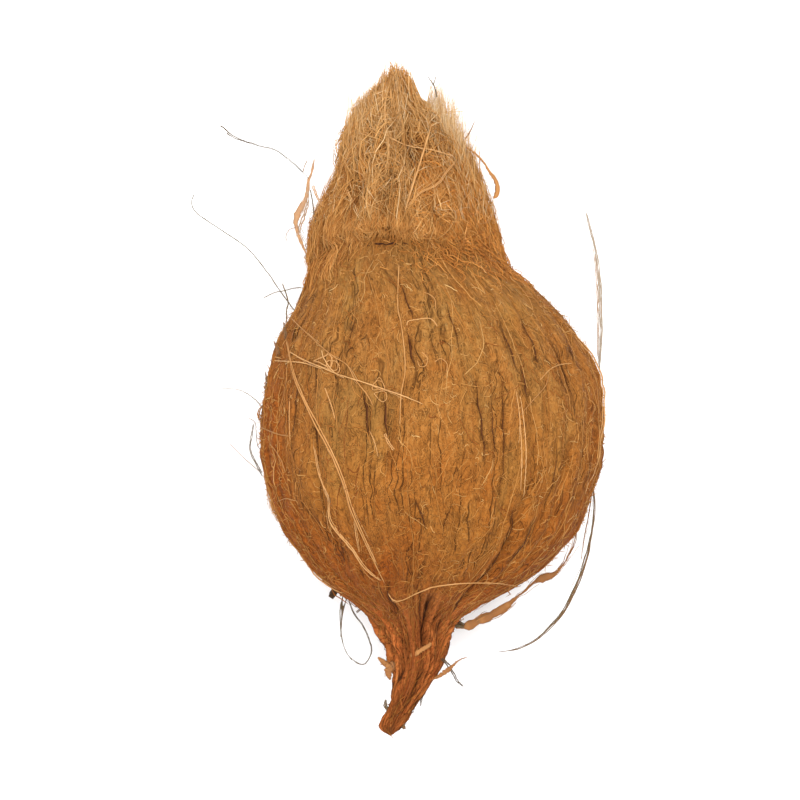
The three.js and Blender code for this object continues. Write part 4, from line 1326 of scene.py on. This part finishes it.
# Strands round the sides: each point's place along Y, its angle round the nut and its height over the skin.
ROUND_NUT = [
    Strand("edge_strand", 0.62, 0.24, [0.16, 0.3, 0.4, 0.4, 0.4, 0.36, 0.3, 0.14], [(-14, 2.96, 0.1),
        (-23, 2.96, 0.4), (-33, 2.97, 0.4), (-41, 2.95, 0.4), (-46, 2.94, 0.4), (-51, 2.86, 0.4),
        (-53, 2.66, 0.3), (-52.4, 2.5, 0.1)], frays=8),
    Strand("edge_clump", 0.5, 0.6, [0.17, 0.32, 0.17], [(6.4, 3, 0.2), (3.6, 3.02, 0.9),
        (0.6, 3, 0.2)], threads=3, frays=14),
    Strand("edge_spike_high", 0.3, 0.4, [0.7, 0.5, 0.1], [(27, 2.82, 0), (29.4, 2.84, 1), (32, 2.86, 2.2)]),
    Strand("edge_spike_mid", 0.34, 0.4, [0.7, 0.5, 0.1], [(22, 2.84, 0), (24, 2.86, 1), (26.4, 2.88, 2.2)]),
    Strand("edge_spike_low", 0.3, 0.3, [0.6, 0.4, 0.1], [(11, 2.9, 0), (14, 2.92, 0.8), (17, 2.94, 1.6)]),
    Strand("under_strand", 0.66, 0.3, [0.2, 0.5, 0.6, 0.5, 0.2], [(30, 4.1, 0.1), (12, 4, 0.5),
        (-6, 3.9, 0.5), (-24, 3.8, 0.5), (-40, 3.7, 0.1)]),
    Strand("back_strand", 0.7, 0.3, [0.2, 0.45, 0.5, 0.4, 0.2], [(24, 5.7, 0.1), (8, 5.8, 0.5),
        (-10, 5.95, 0.5), (-26, 6.1, 0.5), (-44, 6.2, 0.1)]),
    Strand("right_side_strand", 0.66, 0.25, [0.2, 0.4, 0.4, 0.2], [(36, 0.3, 0.1), (20, 0.2, 0.5),
        (0, 0.25, 0.5), (-22, 0.4, 0.1)]),
]
# Strands on the tuft, given the same way as those that lie on the nut.
LYING_ON_TUFT = [
    Strand("tuft_pale_strand", 0.74, 0.2, [0.14, 0.28, 0.34, 0.3, 0.16], [(0.2, 95.4, 2.6), (-1, 91.2, 3),
        (-3.9, 81.4, 3.4), (-6.2, 74, 3.2), (-8.4, 66.6, 2.4)], threads=1, frays=4),
    Strand("tuft_arc", 0.66, 0.2, [0.1, 0.24, 0.26, 0.2, 0.12], [(9.2, 84.8, 1.6), (5.6, 80.6, 2.4),
        (1.8, 75.4, 2.6), (-3.8, 72.4, 2.6), (-8.8, 66.8, 1.8)], threads=2),
    Strand("tuft_left_strand", 0.7, 0.2, 0.28, [(-27.4, 78.4, 0.8), (-26.4, 73.6, 1.8), (-24.2, 69, 1.8),
        (-21.4, 65.4, 0.8)]),
    Strand("tuft_seam_strand", 0.68, 0.18, 0.22, [(-30.4, 64, 0.8), (-25, 63.2, 1.6), (-20, 62.6, 0.8)]),
    Strand("tuft_loop", 0.68, 0.16, 0.16, [(-32, 79.4, 0.6), (-25, 84, 1.6), (-17, 85.4, 2.2),
        (-9, 81.4, 2.2), (-6, 76, 1.6)]),
    Strand("tuft_cross", 0.7, 0.16, 0.18, [(-24, 96, 1), (-17, 92.6, 2.2), (-9, 88.6, 2.4), (1, 86.4, 1.6),
        (9, 84, 0.8)]),
    Strand("tuft_peak_strand", 0.66, 0.2, 0.24, [(-14, 107, 1.2), (-14.6, 98, 2), (-13.4, 88, 2.2),
        (-13.8, 80, 1.4)]),
]
# Strands that stand free: x, y and z of each point.
FREE = [
    Strand("left_long_hair", 0.14, 0.18, [0.42, 0.38, 0.24, 0.17, 0.16, 0.16, 0.17, 0.2], [(-67.6, 94.9, 68),
        (-65.6, 93.6, 67.7), (-62, 91, 67.2), (-54.1, 88.4, 66.4), (-49.4, 87.2, 65.6), (-43.8, 83.2, 64.2),
        (-40.6, 80, 63), (-38.6, 77.6, 62)]),
    Strand("left_flake", 0.92, 0.3,
        [0.14, 0.36, 0.31, 0.55, 0.62, 0.48, 0.84, 1.02, 0.8, 0.44, 0.55, 0.31, 0.18], [(-37, 84.8, 62.4),
        (-37.6, 82.2, 62.3), (-38, 80.2, 62.3), (-39, 77.6, 62.2), (-39.2, 74.8, 62.4), (-39.8, 72.2, 62.8),
        (-40.8, 70, 63), (-42.2, 67.6, 63), (-43, 64.6, 63), (-42.6, 61.8, 62.8), (-41.4, 58.6, 62.2),
        (-40.6, 56.4, 61.4), (-39.6, 54, 60)], threads=1, frays=26, lumps=0.2),
    Strand("left_flake_edge", 0.92, 0.2, [0.2, 0.35, 0.4, 0.35, 0.2], [(-39, 74, 62.6), (-39.4, 69.6, 62.4),
        (-40.6, 66, 62.2), (-41.8, 62.6, 62.2), (-41.9, 60, 62.2)], frays=8),
    Strand("left_flake_twig", 0.3, 0.16, 0.16, [(-40.8, 80.4, 62.6), (-40.2, 82.4, 63), (-39.4, 84, 63.4)]),
    Strand("left_flake_branch", 0.86, 0.2, 0.28, [(-37.8, 77, 62.2), (-36.6, 73.4, 62), (-35, 70.6, 61),
        (-33, 68, 60)], frays=4),
    Strand("left_flake_branch_dark", 0.2, 0.18, 0.2, [(-38.4, 75, 62), (-37.6, 70.4, 61.6), (-37.2, 66.6, 61),
        (-36, 62, 60)]),
    Strand("left_flake_hook", 0.35, 0.14, 0.14, [(-42.6, 62.8, 63), (-44.8, 62.2, 63.4), (-46, 60.4, 63.6),
        (-46, 58.4, 63.8)]),
    Strand("hair_c", 0.16, 0.16, [0.14, 0.17, 0.18, 0.18, 0.18, 0.18, 0.18, 0.2, 0.2, 0.2], [
        (-75.2, 74.6, 56), (-76.5, 71.4, 56.4), (-74.9, 67.8, 57.4), (-67.2, 62.4, 60), (-58.4, 56.2, 63),
        (-52, 48.6, 65), (-49, 44.2, 66), (-45.4, 39.2, 67.4), (-42, 35, 69.6), (-36, 30, 76)]),
    Strand("twig_upright", 0.16, 0.2, [0.2, 0.24, 0.22, 0.22, 0.24], [(-47.2, 45, 66), (-45.8, 41.2, 66.4),
        (-45.3, 38.4, 66.8), (-45.8, 36, 67), (-45.6, 28, 68.6)]),
    Strand("twig_cross", 0.2, 0.15, 0.16, [(-53.2, 40.3, 65), (-49.8, 42, 65.6), (-46.6, 42.6, 66.2),
        (-43.6, 43.4, 66.8), (-41, 43.6, 67.4)]),
    Strand("edge_hair_top", 0.26, 0.14, [0.1, 0.12, 0.14, 0.16, 0.16], [(-68, 11.8, 62), (-61, 11.2, 62.6),
        (-56.4, 8.6, 63), (-53.6, 5.8, 63), (-50, 3.4, 62)]),
    Strand("edge_loop", 0.2, 0.2, [0.16, 0.2, 0.22, 0.24, 0.26], [(-56.4, 1.4, 60), (-57, -2.6, 60.6),
        (-57.6, -7.6, 61), (-56, -11.6, 60.6), (-53.4, -16.4, 59)]),
    Strand("edge_loop_fine", 0.3, 0.12, 0.12, [(-58, 2.2, 61), (-56, 0.8, 61.4), (-55.6, -3, 61),
        (-55, -7, 60), (-52, -9, 59)]),
    Strand("edge_fan", 0.34, 0.12, 0.12, [(-64.2, -5.8, 59), (-61.4, -8.8, 59), (-58.4, -11.6, 59),
        (-54, -15.4, 58.6)]),
    Strand("right_curl", 0.56, 0.3, [0.22, 0.28, 0.32, 0.43, 0.6, 0.82, 0.86, 0.82, 0.43], [(11, 88.4, 62),
        (14, 86.4, 63), (16.6, 83.6, 63.6), (18.4, 80.6, 64.4), (20, 78.4, 65), (20.9, 76.4, 65),
        (21.1, 74.4, 64.8), (20.6, 72.8, 64.6), (19.6, 71.9, 64.4)], threads=1, frays=10),
    Strand("right_white_hair", 1, 0.12, [0.2, 0.3, 0.42, 0.46, 0.42, 0.36, 0.3], [(48, 72, 63),
        (50.6, 62.4, 62.6), (52.6, 54, 62), (53.7, 43.8, 61.6), (54.1, 33.4, 61.2), (53.9, 24, 60.8),
        (53, 14, 60)], frays=5),
    Strand("right_white_hair_pair", 0.98, 0.1, [0.14, 0.24, 0.26, 0.2], [(51.4, 57.8, 62.4), (52.4, 50, 62),
        (53, 40, 61.4), (53.2, 18, 60.2)]),
    Strand("right_long_arc", 0.24, 0.2, [0.2, 0.26, 0.36, 0.5, 0.54, 0.46, 0.34, 0.24, 0.14], [
        (50.6, -12, 50), (52.6, -24, 49.4), (52, -34, 47), (49.8, -45, 43), (46.6, -54, 39.4),
        (41.4, -63.6, 34.4), (34.8, -70.2, 30.8), (27.1, -74, 28), (18.9, -74.8, 26)], frays=6),
    Strand("right_arc_pair", 0.4, 0.14, [0.1, 0.16, 0.2, 0.2, 0.12], [(51.8, -8, 52), (52.2, -17, 50.6),
        (51, -28, 48.6), (49.6, -36, 46.4), (48.6, -44, 43.6)]),
    Strand("pith_strip", 0.4, 0.4,
        [0.95, 0.95, 1.33, 1.14, 1.71, 1.42, 1.33, 0.9, 0.28, 0.24, 0.38, 1.09, 1.19, 0.47, 0.16, 0.14,
        0.18, 0.28, 0.18], [(7, -64, 54), (10.6, -64.6, 53), (12.8, -64.2, 52.4), (14.8, -63, 52),
        (17.3, -62, 51.2), (20.4, -60.6, 50.4), (23.4, -58.8, 49.8), (25.6, -57.2, 49.4), (27.6, -55.4, 49),
        (30.4, -53.4, 48.6), (33.4, -50.6, 48), (35.4, -49.6, 48), (38, -48.8, 47.8), (40.4, -47.6, 47.6),
        (43.2, -44.2, 47.5), (45.4, -40, 47.8), (46.6, -35.8, 48.4), (46.2, -32.8, 49),
        (45.6, -30, 50)], threads=1, frays=60, lumps=0.32),
    Strand("strip_hairs", 0.62, 0.12, [0.14, 0.16, 0.16, 0.12], [(45.8, -35.4, 49), (47.6, -31.6, 49.6),
        (49.8, -28.2, 50.2), (51.2, -22, 51)], frays=8),
    Strand("tail_loop", 0.18, 0.2,
        [1.1, 0.9, 0.45, 0.22, 0.16, 0.16, 0.16, 0.18, 0.2, 0.22, 0.22, 0.22, 0.24, 0.26], [(-27, -52, 50),
        (-28.2, -57, 48), (-28.8, -61.6, 45), (-29, -66.9, 42), (-28.2, -71.6, 39.6), (-26.6, -75.2, 37.6),
        (-23.6, -77.6, 36), (-21.6, -78.2, 35.6), (-19.9, -76, 36.4), (-19.1, -73.2, 37.6), (-20.2, -69, 40),
        (-22.2, -64.5, 43), (-25, -60.4, 46), (-27, -54, 49)], frays=4),
    Strand("tail_end_dark", 0.08, 0.25, [0.35, 0.35, 0.3, 0.28, 0.12], [(1, -73, 56), (5.2, -76.4, 54.6),
        (7.3, -79.9, 53), (8.7, -82.4, 51.6), (11.2, -84.6, 50)]),
    Strand("tail_end_flake", 0.42, 0.3, [0.2, 0.6, 0.9, 0.4, 0.22, 0.1], [(0, -81.6, 56), (3, -80, 55.4),
        (5.2, -78.6, 54.8), (7, -77, 54.2), (9, -75.4, 53.6),
        (11.6, -74.4, 53)], threads=1, frays=6, lumps=0.4),
    Strand("tail_flap", 0.42, 0.3, [0.6, 1.2, 1.5, 1.3, 0.8, 0.3], [(-9.6, -76, 56.4), (-11.6, -76.6, 56.8),
        (-13, -77.4, 57), (-13.6, -78.8, 57.2), (-13.4, -80.2, 57),
        (-13, -81.4, 56.8)], threads=1, frays=8, lumps=0.4),
    Strand("tail_flap_tip", 0.42, 0.25, [1, 1.1, 0.8, 0.25], [(-12.6, -77.6, 57), (-14.4, -76.4, 57.4),
        (-15.8, -75.2, 57.6), (-17, -74.1, 57.8)], threads=1, frays=5),
    Strand("tail_scrap", 0.46, 0.25, [0.45, 0.81, 0.63, 0.72, 0.45], [(-6.6, -73.4, 61.6),
        (-5.2, -72.8, 62.2), (-3.4, -71.6, 62.6), (-1.4, -70.4, 62.8),
        (0.2, -69.2, 62.6)], threads=1, frays=10, lumps=0.4),
    Strand("tail_hanging_hair", 0.12, 0.2, [0.4, 0.3, 0.12], [(-2.4, -85, 55), (-3, -87.4, 54.4),
        (-3.4, -90.4, 53.8)]),
    Strand("nub_left", 0.02, 0.9, [1, 1.3, 0.9], [(-30, -52.4, 53), (-31.2, -53.9, 52.4),
        (-32, -55.4, 52)], threads=1),
    Strand("tip_nub", 0.3, 0.5, [0.6, 0.8, 0.5], [(-10.4, -94.4, 54), (-9.2, -95.8, 53.8),
        (-8.4, -97.4, 53.4)], threads=1),
    Strand("tail_spike", 0.2, 0.3, [0.5, 0.5, 0.2], [(-13.6, -91.4, 54), (-14.6, -89.8, 54.2),
        (-14.4, -87.8, 54.4)]),
    Strand("tail_stub", 0.22, 0.2, [0.3, 0.3, 0.2], [(-21, -57, 52), (-22.4, -58.8, 51.6), (-24, -60.4, 51)]),
    Strand("nub_right", 0.12, 0.7, [0.9, 0.9, 0.7, 0.4], [(5.6, -62.8, 55), (8, -63.4, 54.4), (9.6, -64, 54),
        (10.8, -64.4, 53.6)], threads=2),
    Strand("peak_twig", 0.14, 0.18, [0.22, 0.2, 0.12], [(1.8, 104, 64), (0.9, 107.6, 64.6),
        (-1.2, 110.6, 65)]),
    Strand("peak_twig_fork", 0.2, 0.14, [0.16, 0.12], [(0.6, 107.8, 64.6), (1.6, 110.8, 65)]),
    Strand("side_twig", 0.3, 0.18, [0.2, 0.2, 0.12], [(10.8, 91, 62), (12.4, 93.4, 62.6), (13.8, 96.6, 63)]),
]
# Knots on the nut: name, middle, radius, turns, half width and seed.
KNOTS = [
    ("knot", (-33.4, 20.2), 3.1, 1, 0.21, 1),
    ("knot_low", (-30.4, 18.8), 2.3, 2, 0.15, 2),
    ("second_knot", (-16.6, 12.4), 2.0, 2, 0.13, 3),
    ("second_knot_low", (-15.6, 9.4), 1.8, 1, 0.13, 4),
]
KNOT_TONE = 0.68
ABOVE_ALL = 300  # a height to look down on a skin from
OFF_THE_SIDE = 40.0  # the height of a strand where no skin is under it


def looped(middle, radius, turns, seed):
    """Points of a loose knot of loops that lies round a middle."""
    t = np.linspace(0, 1, 12 * turns)
    turn = TAU * turns * t + seed
    wander = [noise_at(t * 3 * turns, seed, axis, 91) for axis in range(3)]
    reach = radius * (0.8 + 0.4 * noise_at(t * 2 * turns, 0, seed, 92))
    x = middle[0] + reach * np.cos(turn) + 0.9 * radius * wander[0]
    y = middle[1] + 0.9 * reach * np.sin(turn) + 0.9 * radius * wander[1]
    return np.stack([x, y, 0.7 + 0.5 * wander[2]], -1)


def drop(surface, x, y):
    """The height of a skin's upper side at x, y."""
    hit = surface.ray_cast(Vector((x, y, ABOVE_ALL)), Vector((0, 0, -1)))[0]
    return hit.z if hit else OFF_THE_SIDE


def settled(surface, points, count):
    """A path through the points that lies over the bumps of a skin, with how far it is over them."""
    path = respaced(points, count)
    under = np.array([drop(surface, x, y) for x, y, _ in path])
    crest = np.maximum.reduce([np.roll(np.pad(under, 3, "edge"), k)[3:-3] for k in (-1, 0, 1)])
    eased = np.convolve(np.pad(crest, 3, "edge"), np.ones(7) / 7, "valid")
    path[:, 2] += np.maximum(eased, under)
    return path


def along_points(given, points, places):
    """A measure of a strand at shares of its way, from one number or from one for each point."""
    given = np.atleast_1d(given).astype(float)
    if len(given) == 1:
        return given + 0 * places
    run = run_along(np.array(points, float))
    return np.interp(places, run / run[-1], given)


def at_shares(path, places):
    """Points of a path at shares of its way."""
    steps = np.arange(len(path))
    return np.stack([np.interp(places * steps[-1], steps, column) for column in path.T], -1)


def hand_strand(strand, path, material):
    """A strand laid from threads that cross and part, with finer ones that fray off it where asked."""
    random = np.random.default_rng(sum(map(ord, strand.name)))
    threads = int(np.clip(np.round(np.max(strand.wide) / THREAD_HALF), 1, strand.threads))
    many, lumps = threads > 1, strand.lumps
    ends = 0.1 * many * random.random(threads), 1 - 0.1 * many * random.random(threads)
    places = np.linspace(*ends, HAND_STEPS, axis=1)
    at = at_shares(path, places)
    side = unit(np.cross(unit(np.gradient(at, axis=1)), UP) + 1e-9)
    wide, thin = (along_points(given, strand.points, places) for given in (strand.wide, strand.thin))
    lane = np.arange(threads)[:, None]
    seeds = np.stack(np.broadcast_arrays(places * 9, lane, len(strand.name)), -1)
    spread = 0.8 * (2 * lane / max(threads - 1, 1) - 1) * many * wide
    spread = spread + 0.6 * wide * noise(seeds, 71) * many + 0.12 * noise(seeds * 3, 72)
    spread = spread + 0.6 * lumps * wide * noise(seeds * (1.6, 1, 1), 80)
    at = at + side * spread[..., None]
    at[..., 2] += (0.5 * noise(seeds, 73) + 0.4) * thin * many
    rough = 1 + 0.3 * noise(seeds * (3, 1, 1), 75) + 0.2 * noise(seeds * (7, 1, 1), 76)
    rough = rough + lumps * (noise(seeds * (1.6, 1, 1), 78) + 0.8 * noise(seeds * (4.5, 1, 1), 81))
    wide = wide * rough * (1.3 / threads if many else 1)
    mottled = (0.05 + 0.3 * lumps) * noise(seeds * (7 if lumps else 1), 77)
    tone = strand.tone + mottled + random.normal(0, 0.03, (threads, 1))
    sides = LUMPY_SIDES if lumps else HAND_SIDES
    strands(strand.name, at, wide, thin * rough, UP, tone, material, HUSK, sides=sides)
    if strand.frays:
        frays(strand, path, random, material)


def frays(strand, path, random, material):
    """Fine threads that leave a strand along its way."""
    each = (strand.frays, 1)
    starts = random.uniform(0, 0.8, each)
    shares = starts + random.uniform(0.06, 0.26, each) * np.linspace(0, 1, FRAY_STEPS)
    within = np.minimum(shares, 1)
    inner = at_shares(path, within)
    side = unit(at_shares(np.cross(np.gradient(path, axis=0), UP), within) + 1e-9)
    wide, thin = (along_points(given, strand.points, shares) for given in (strand.wide, strand.thin))
    off = random.uniform(-1.1, 1.1, each) * wide
    off = off + random.normal(0, 4, each) * (shares - starts) + 0.3 * noise(inner / 1.6, 79)
    lift = random.uniform(0.2, 1.0, each) * thin
    lines = inner + side * off[..., None] + UP * lift[..., None]
    size = random.uniform(0.06, 0.11, each)
    tone = strand.tone + random.normal(0.04, 0.08, strand.frays)
    strands(strand.name + "_frays", lines, size, ROUND, UP, tone, material, HUSK)


def hand_strands(nut, tuft, material):
    nut_surface, tuft_surface = nut.upper_side(), tuft.upper_side()
    for name, middle, radius, turns, half, seed in KNOTS:
        knot = Strand(name, KNOT_TONE, half * 0.8, half, looped(middle, radius, turns, seed))
        hand_strand(knot, settled(nut_surface, knot.points, HAND_STEPS * 2), material)
    for strand in ROUND_NUT:
        y, angle, height = respaced(strand.points, HAND_STEPS).T
        hand_strand(strand, lying(nut, nut.v_at(y), angle, height)[0], material)
    for strands_on, surface in ((LYING, nut_surface), (LYING_ON_TUFT, tuft_surface)):
        for strand in strands_on:
            hand_strand(strand, settled(surface, strand.points, HAND_STEPS), material)
    for strand in FREE:
        hand_strand(strand, respaced(strand.points, HAND_STEPS), material)


# ---------------------------------------------------------------- the studio

PHOTO_PIXEL = 0.32  # millimetres across one of the photograph's pixels, at the height of the nut's outline
PHOTO_SIDE = 800  # the photograph's width in pixels
PHOTO_MIDDLE = (-9.9, 8.0)  # where the photograph's centre falls
CAMERA_DISTANCE = 1100
FLOOR_SIDE = 12  # in metres, as are the places and sizes of the lights
WORLD_LIGHT = 0.62
# Each light's name, place, size and power.
LIGHTS = [("key", (0.15, 0.4, 1.7), 1.0, 34), ("fill", (-0.35, -0.3, 1.7), 1.2, 18)]
LIT_POINT = Vector((0, 0, 0.05))


def camera():
    data = bpy.data.cameras.new("camera")
    data.lens = data.sensor_width * CAMERA_DISTANCE / (PHOTO_SIDE * PHOTO_PIXEL)
    piece = bpy.data.objects.new("camera", data)
    low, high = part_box("nut")
    piece.location = (PHOTO_MIDDLE[0] * MM, PHOTO_MIDDLE[1] * MM, (low.z + high.z) / 2 + CAMERA_DISTANCE * MM)
    bpy.context.scene.collection.objects.link(piece)
    bpy.context.scene.camera = piece


def area_light(name, place, size, power):
    data = bpy.data.lights.new(name, "AREA")
    data.shape = "DISK"
    data.size = size
    data.energy = power
    piece = bpy.data.objects.new(name, data)
    piece.location = place
    piece.rotation_mode = "QUATERNION"
    piece.rotation_quaternion = (LIT_POINT - Vector(place)).to_track_quat("-Z", "Y")
    bpy.context.scene.collection.objects.link(piece)


def studio():
    bpy.ops.mesh.primitive_plane_add(size=FLOOR_SIDE)
    floor = bpy.context.object
    floor.name = "floor"
    floor.data.materials.append(floor_material())
    world = bpy.data.worlds.new("studio")
    world.use_nodes = True
    world.node_tree.nodes["Background"].inputs["Color"].default_value = (1, 1, 1, 1)
    world.node_tree.nodes["Background"].inputs["Strength"].default_value = WORLD_LIGHT
    bpy.context.scene.world = world
    for light in LIGHTS:
        area_light(*light)
    bpy.context.scene.view_settings.view_transform = "Standard"


# ---------------------------------------------------------------- the coconut


def dress_nut(nut, fibre, slit_fibre):
    random = np.random.default_rng(101)
    nut_curls(nut, random, fibre)
    nut_grain_fibres(nut, random, fibre)
    slit_shade_fibres(nut, slit_fibre)
    nut_cords(nut, fibre)
    nut_fuzz(nut, fibre)
    tail_fibres(nut, fibre)


def dress_tuft(nut, tuft, nut_fibre, fibre, slit_fibre):
    random = np.random.default_rng(211)
    for part in range(SHELL_PARTS):
        shell_strands(tuft, random, fibre, part)
    tangle(tuft, fibre)
    tuft_fuzz(tuft, fibre)
    pith_fibre = fibre_material("pith_fibre", PITH_FIBRE, root_shade=0.8)
    random = np.random.default_rng(213)
    pith_curls(tuft, random, pith_fibre)
    seam_curls(nut, tuft, random, pith_fibre)
    crevice(nut, tuft, slit_fibre)
    fringe(nut, tuft, fibre)
    random = np.random.default_rng(215)
    felt(nut, tuft, random, nut_fibre)
    flowing_strands(nut, tuft, random, fibre)
    random = np.random.default_rng(214)
    for peak in PEAK_FIBRES:
        peak_fibres(tuft, random, *peak, fibre)


def build():
    nut = Body(NUT_ROWS, *NUT_FACES, nut_relief)
    tuft = Body(TUFT_ROWS, *TUFT_FACES, tuft_relief)
    nut_fibre = fibre_material("nut_fibre", NUT_FIBRE, root_shade=0.8)
    husk_fibre = fibre_material("husk_fibre", HUSK_FIBRE, root_shade=0.6)
    skin = skin_object("nut_skin", nut, coir_skin(), COIR, **nut_fields(nut))
    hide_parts("nut")
    core_fields = {
        "grain": grain_places(tuft.angle, tuft.sections),
        "packed": packed_share(tuft.angle, tuft.sections.y),
    }
    core = skin_object("husk_core", tuft, husk_core_material(), HUSK, **core_fields)
    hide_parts("husk_tuft")
    slit_fibre = fibre_material("slit_fibre", SLIT_SHADE_FIBRE, root_shade=1.0)
    dress_nut(nut, nut_fibre, slit_fibre)
    dress_tuft(nut, tuft, nut_fibre, husk_fibre, slit_fibre)
    hand_strands(nut, tuft, fibre_material("loose_fibre", LOOSE_FIBRE, root_shade=1.0))


build()
studio()
camera()
